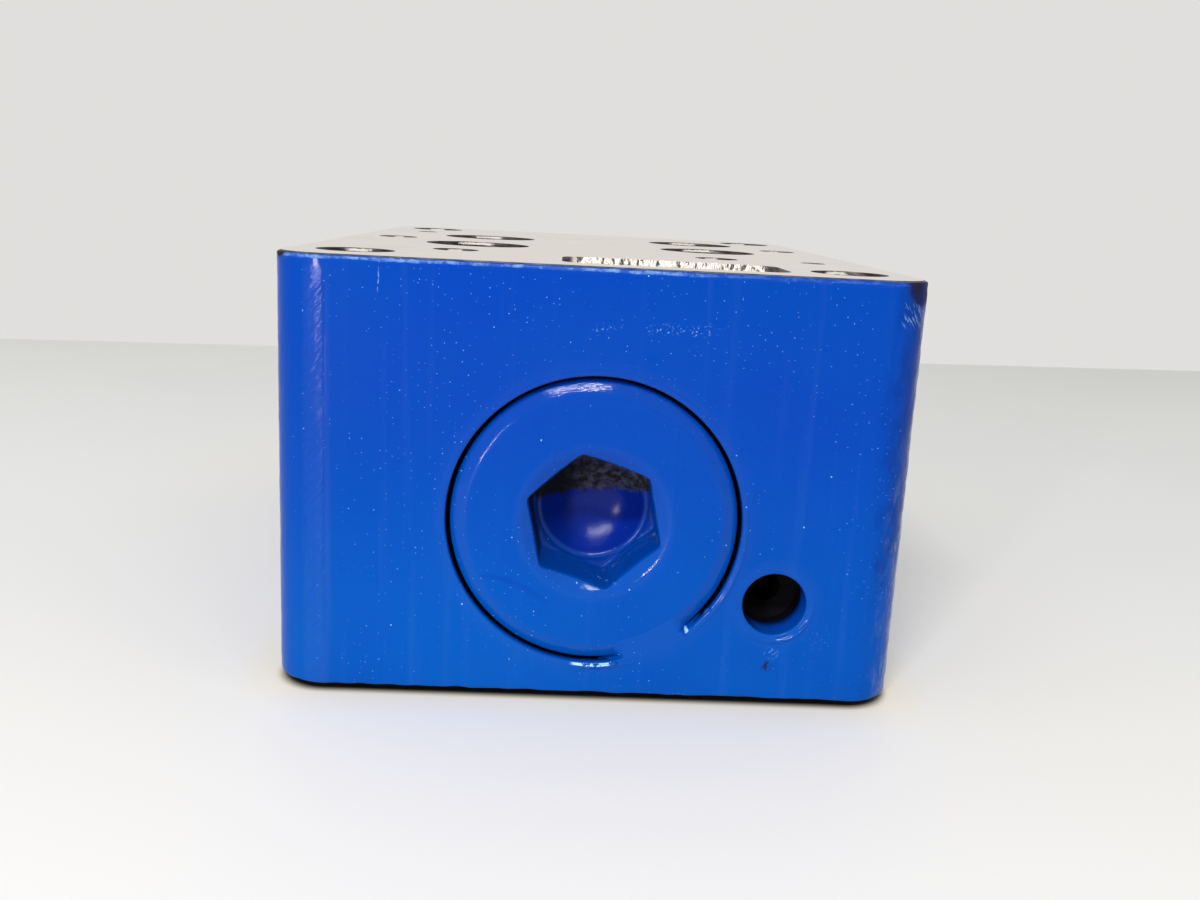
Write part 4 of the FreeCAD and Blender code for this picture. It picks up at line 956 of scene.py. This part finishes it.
def aroundPlug(angle, radius, height):
    # a place on the front, by angle in degrees and radius about the plug's axis
    turn = math.radians(angle)
    y = -casting["length"] / 2 - height
    return Vector((radius * math.cos(turn), y, casting["bore"] + radius * math.sin(turn)))


def soften(value):
    share = min(1.0, max(0.0, value))
    return share * share * (3 - 2 * share)


def openLevel(radius):
    # height of what lies under the bridge: the plug's chamfer, the gap and the coat's edge
    if radius > 20.5:
        return 0.04
    if radius >= 20.0:
        return -1.9
    for (outer, low), (inner, high) in zip(softChamfer, softChamfer[1:]):
        if inner <= radius:
            return -(low + (high - low) * (outer - radius) / max(outer - inner, 1e-6))
    return 0.0


bm = bmesh.new()
bmesh.ops.create_grid(bm, x_segments=120, y_segments=64, size=0.5)
for v in bm.verts:
    along, across = v.co.x + 0.5, v.co.y + 0.5
    radius = bridge["inner"] + (bridge["outer"] - bridge["inner"]) * across
    pointed = bridge["point"] * soften((radius - 19.9) / 0.65)
    start, stop = bridge["from"] - pointed, bridge["to"] + pointed
    angle = start + (stop - start) * along
    filled = soften(min(angle - start, stop - angle) / bridge["ramp"])
    flush = coatHeight(aroundPlug(angle, radius, 0.0)) * soften((radius - 17.3) / 3.0) + 0.006
    flush -= 0.06 * soften((radius - 20.9) / 1.0) + 0.05 * soften((17.7 - radius) / 0.6)
    v.co = aroundPlug(angle, radius, flush * filled + (openLevel(radius) - 0.05) * (1 - filled))
faceOut(bm)
if sum(f.normal.y for f in bm.faces) > 0:
    bmesh.ops.reverse_faces(bm, faces=bm.faces)
bmesh.ops.solidify(bm, geom=bm.faces[:], thickness=bridge["wall"])
for drop in drops:
    made = bmesh.ops.create_icosphere(bm, subdivisions=3, radius=1.0)["verts"]
    for v in made:
        v.co *= 1 + 0.30 * noise.noise(v.co * 1.1 + Vector((drop["angle"], 0, 0)))
    bmesh.ops.scale(bm, vec=drop["size"], verts=made)
    rotate(bm, made, -math.radians(drop["angle"] + 90), "Y")
    place = aroundPlug(drop["angle"], drop["radius"], drop["height"] - 0.1)
    bmesh.ops.translate(bm, vec=place, verts=made)
toMetres(bm)
keep(bm, "gap_enamel", "painted_casting", blueEnamel)


# compression spring, with its end coils closed and ground flat
coil = {
    "wire": 2.0,
    "start": 16.0,
    "end": 43.0,
    "closedTurns": 1.0,
    "openTurns": 5.0,
    "steps": 44,
    "sides": 14,
}
low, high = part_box("compression_spring")
coilRadius = (high.x - low.x) / 2 / mm - coil["wire"] / 2
rise = (coil["end"] - coil["start"] - 2 * coil["wire"] * coil["closedTurns"]) / coil["openTurns"]
bm = bmesh.new()
section = bmesh.ops.create_circle(bm, cap_ends=False, radius=coil["wire"] / 2,
                                  segments=coil["sides"])["verts"]
bmesh.ops.translate(bm, vec=(coilRadius, coil["start"], 0), verts=section)
tip = bm.verts[:] + bm.edges[:]
bmesh.ops.holes_fill(bm, edges=bm.edges[:], sides=0)
closed = (coil["closedTurns"], coil["wire"])
for turns, pitch in (closed, (coil["openTurns"], rise), closed):
    tip = bmesh.ops.spin(bm, geom=tip, cent=(0, 0, 0), axis=(0, 1, 0), dvec=(0, pitch / coil["steps"], 0),
                         angle=2 * math.pi * turns, steps=int(turns * coil["steps"]), use_merge=False,
                         use_duplicate=False)["geom_last"]
bmesh.ops.remove_doubles(bm, verts=bm.verts, dist=1e-4)
bmesh.ops.holes_fill(bm, edges=[e for e in bm.edges if e.is_boundary], sides=0)
faceOut(bm)
for place, side in ((coil["start"], -1), (coil["end"], 1)):
    cut = [e for e in cutOff(bm, place, side) if isinstance(e, bmesh.types.BMEdge)]
    bmesh.ops.holes_fill(bm, edges=cut, sides=0)
faceOut(bm)
bmesh.ops.translate(bm, vec=(0, 0, casting["bore"]), verts=bm.verts)
toMetres(bm)
spring = keep(bm, "wound_spring", "spring_steel")
for face in spring.data.polygons:
    face.use_smooth = abs(face.normal.y) < 0.98
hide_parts("compression_spring")
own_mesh(spring)
print("spring wound", len(spring.data.polygons))


# seal rings: six in the lower face and one under each screw plug
for name in [node for node in nodes if node.endswith("_seal")]:
    low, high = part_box(name)
    size = high - low
    lying = size.z < size.y
    section = (size.z if lying else size.y) / 2
    ringRadius = size.x / 2 - section
    bm = bmesh.new()
    circle = bmesh.ops.create_circle(bm, cap_ends=False, radius=section, segments=16)["verts"]
    rotate(bm, circle, math.pi / 2, "X")
    bmesh.ops.translate(bm, vec=(ringRadius, 0, 0), verts=circle)
    bmesh.ops.spin(bm, geom=bm.verts[:] + bm.edges[:], cent=(0, 0, 0), axis=(0, 0, 1), dvec=(0, 0, 0),
                   angle=2 * math.pi, steps=72, use_merge=True, use_duplicate=False)
    bmesh.ops.remove_doubles(bm, verts=bm.verts, dist=1e-7)
    faceOut(bm)
    if not lying:
        rotate(bm, bm.verts, math.pi / 2, "X")
    bmesh.ops.translate(bm, vec=(low + high) / 2, verts=bm.verts)
    ring = keep(bm, name.replace("_seal", "_ring"), "seal_rubber")
    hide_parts(name)
print("seal rings made")


# pale floor, room and lamps, in metres
stage = {
    "width": 4.0,
    "depth": 2.4,
    "back": 0.30,
    "turn": 7.9,
    "below": 0.0009,
    "backdrop": 0.75,
    "room": 0.50,
    "tone": (1.0, 0.985, 0.965, 1),
}


def paleStage():
    f = Finish("paleFloor")
    cloud = f.noise(0.004, 3.0)
    base = f.tint(f.mask(cloud, 0.3, 0.7), (0.90, 0.915, 0.90), (0.93, 0.94, 0.925))
    # painted warm light round the foot of the casting, and a painted shadow, dark, in the narrow gap
    # below it
    beyond = f.power((f.x.size() - flatX).greater(0.0)) + f.power((f.y.size() - flatY).greater(0.0))
    away = beyond.root() - casting["corner"]
    base = f.tint((1 - f.mask(away, 6.0, 90.0)) * 0.5, base, (0.98, 0.945, 0.84))
    base = f.tint((1 - f.mask(away, 1.0, 9.0)) * 0.55, base, (0.98, 0.90, 0.70))
    base = f.tint(1 - f.mask(away, -1.3, 1.1), base, (0.014, 0.012, 0.010))
    return f.close({"Base Color": base, "Roughness": 0.6})


bm = bmesh.new()
bmesh.ops.create_grid(bm, x_segments=2, y_segments=2, size=0.5)
bmesh.ops.scale(bm, vec=(stage["width"], stage["depth"], 1.0), verts=bm.verts)
bmesh.ops.translate(bm, vec=(0, stage["back"] - stage["depth"] / 2, -stage["below"]), verts=bm.verts)
bmesh.ops.rotate(bm, cent=(0, stage["back"], 0), verts=bm.verts,
                 matrix=Matrix.Rotation(math.radians(stage["turn"]), 3, "Z"))
mesh = bpy.data.meshes.new("table_top")
bm.to_mesh(mesh)
bm.free()
mesh.materials.append(paleStage())
floor = bpy.data.objects.new("table_top", mesh)
scene.collection.objects.link(floor)

world = bpy.data.worlds.new("studio")
scene.world = world
world.use_nodes = True
sky = world.node_tree
backdrop = sky.nodes["Background"]
backdrop.inputs[0].default_value = stage["tone"]
backdrop.inputs[1].default_value = stage["backdrop"]
# the camera and glossy metal see a brighter backdrop than the room's light
room = sky.nodes.new("ShaderNodeBackground")
room.inputs[0].default_value = stage["tone"]
room.inputs[1].default_value = stage["room"]


def feed(node, *sources):
    # links sources to the node's inputs in their order, and gives its output
    for source, socket in zip(sources, node.inputs):
        sky.links.new(source, socket)
    return node.outputs[0]


def either(first, second):
    node = sky.nodes.new("ShaderNodeMath")
    node.operation = "MAXIMUM"
    return feed(node, first, second)


rays = sky.nodes.new("ShaderNodeLightPath").outputs
clear = either(rays["Is Glossy Ray"], rays["Is Transmission Ray"])
mixed = feed(sky.nodes.new("ShaderNodeMixShader"), either(rays["Is Camera Ray"], clear),
             room.outputs[0], backdrop.outputs[0])
sky.links.new(mixed, sky.nodes["World Output"].inputs[0])


def softbox(name, place, aim, width, height, power, hue=(1.0, 1.0, 1.0)):
    lamp = bpy.data.lights.new(name, "AREA")
    lamp.color = hue
    lamp.shape = "RECTANGLE"
    lamp.size = width
    lamp.size_y = height
    lamp.energy = power
    box = bpy.data.objects.new(name, lamp)
    box.location = place
    box.rotation_mode = "QUATERNION"
    box.rotation_quaternion = (Vector(place) - Vector(aim)).to_track_quat("Z", "Y")
    box.visible_camera = False
    scene.collection.objects.link(box)


softbox("ceilingLamp", (-0.104, -0.648, 0.606), (0, -0.06, 0.03), 0.38, 0.048, 4.5)
softbox("leftStrip", (-0.216, -0.474, 0.070), (-0.04, -0.06, 0.05), 0.030, 0.11, 0.78, (1.0, 0.90, 0.98))

cameraFit = {"place": (-5.22, -213.37, 68.72), "yaw": 2.09, "pitch": 12.47, "roll": 2.91, "lens": 34.13}
yaw, pitch, roll = (math.radians(cameraFit[k]) for k in ("yaw", "pitch", "roll"))
forward = Vector((math.sin(yaw) * math.cos(pitch), math.cos(yaw) * math.cos(pitch), -math.sin(pitch)))
levelRight = Vector((math.cos(yaw), -math.sin(yaw), 0))
levelUp = levelRight.cross(forward)
right = math.cos(roll) * levelRight + math.sin(roll) * levelUp
up = -math.sin(roll) * levelRight + math.cos(roll) * levelUp
lens = bpy.data.cameras.new("camera")
lens.lens = cameraFit["lens"]
lens.sensor_width = 36.0
lens.clip_start = 0.01
camera = bpy.data.objects.new("camera", lens)
turned = Matrix((right, up, -forward)).transposed().to_4x4()
camera.matrix_world = Matrix.Translation(Vector(cameraFit["place"]) * mm) @ turned
scene.collection.objects.link(camera)
scene.camera = camera
scene.view_settings.view_transform = "Standard"
print("stage, lights and camera made")
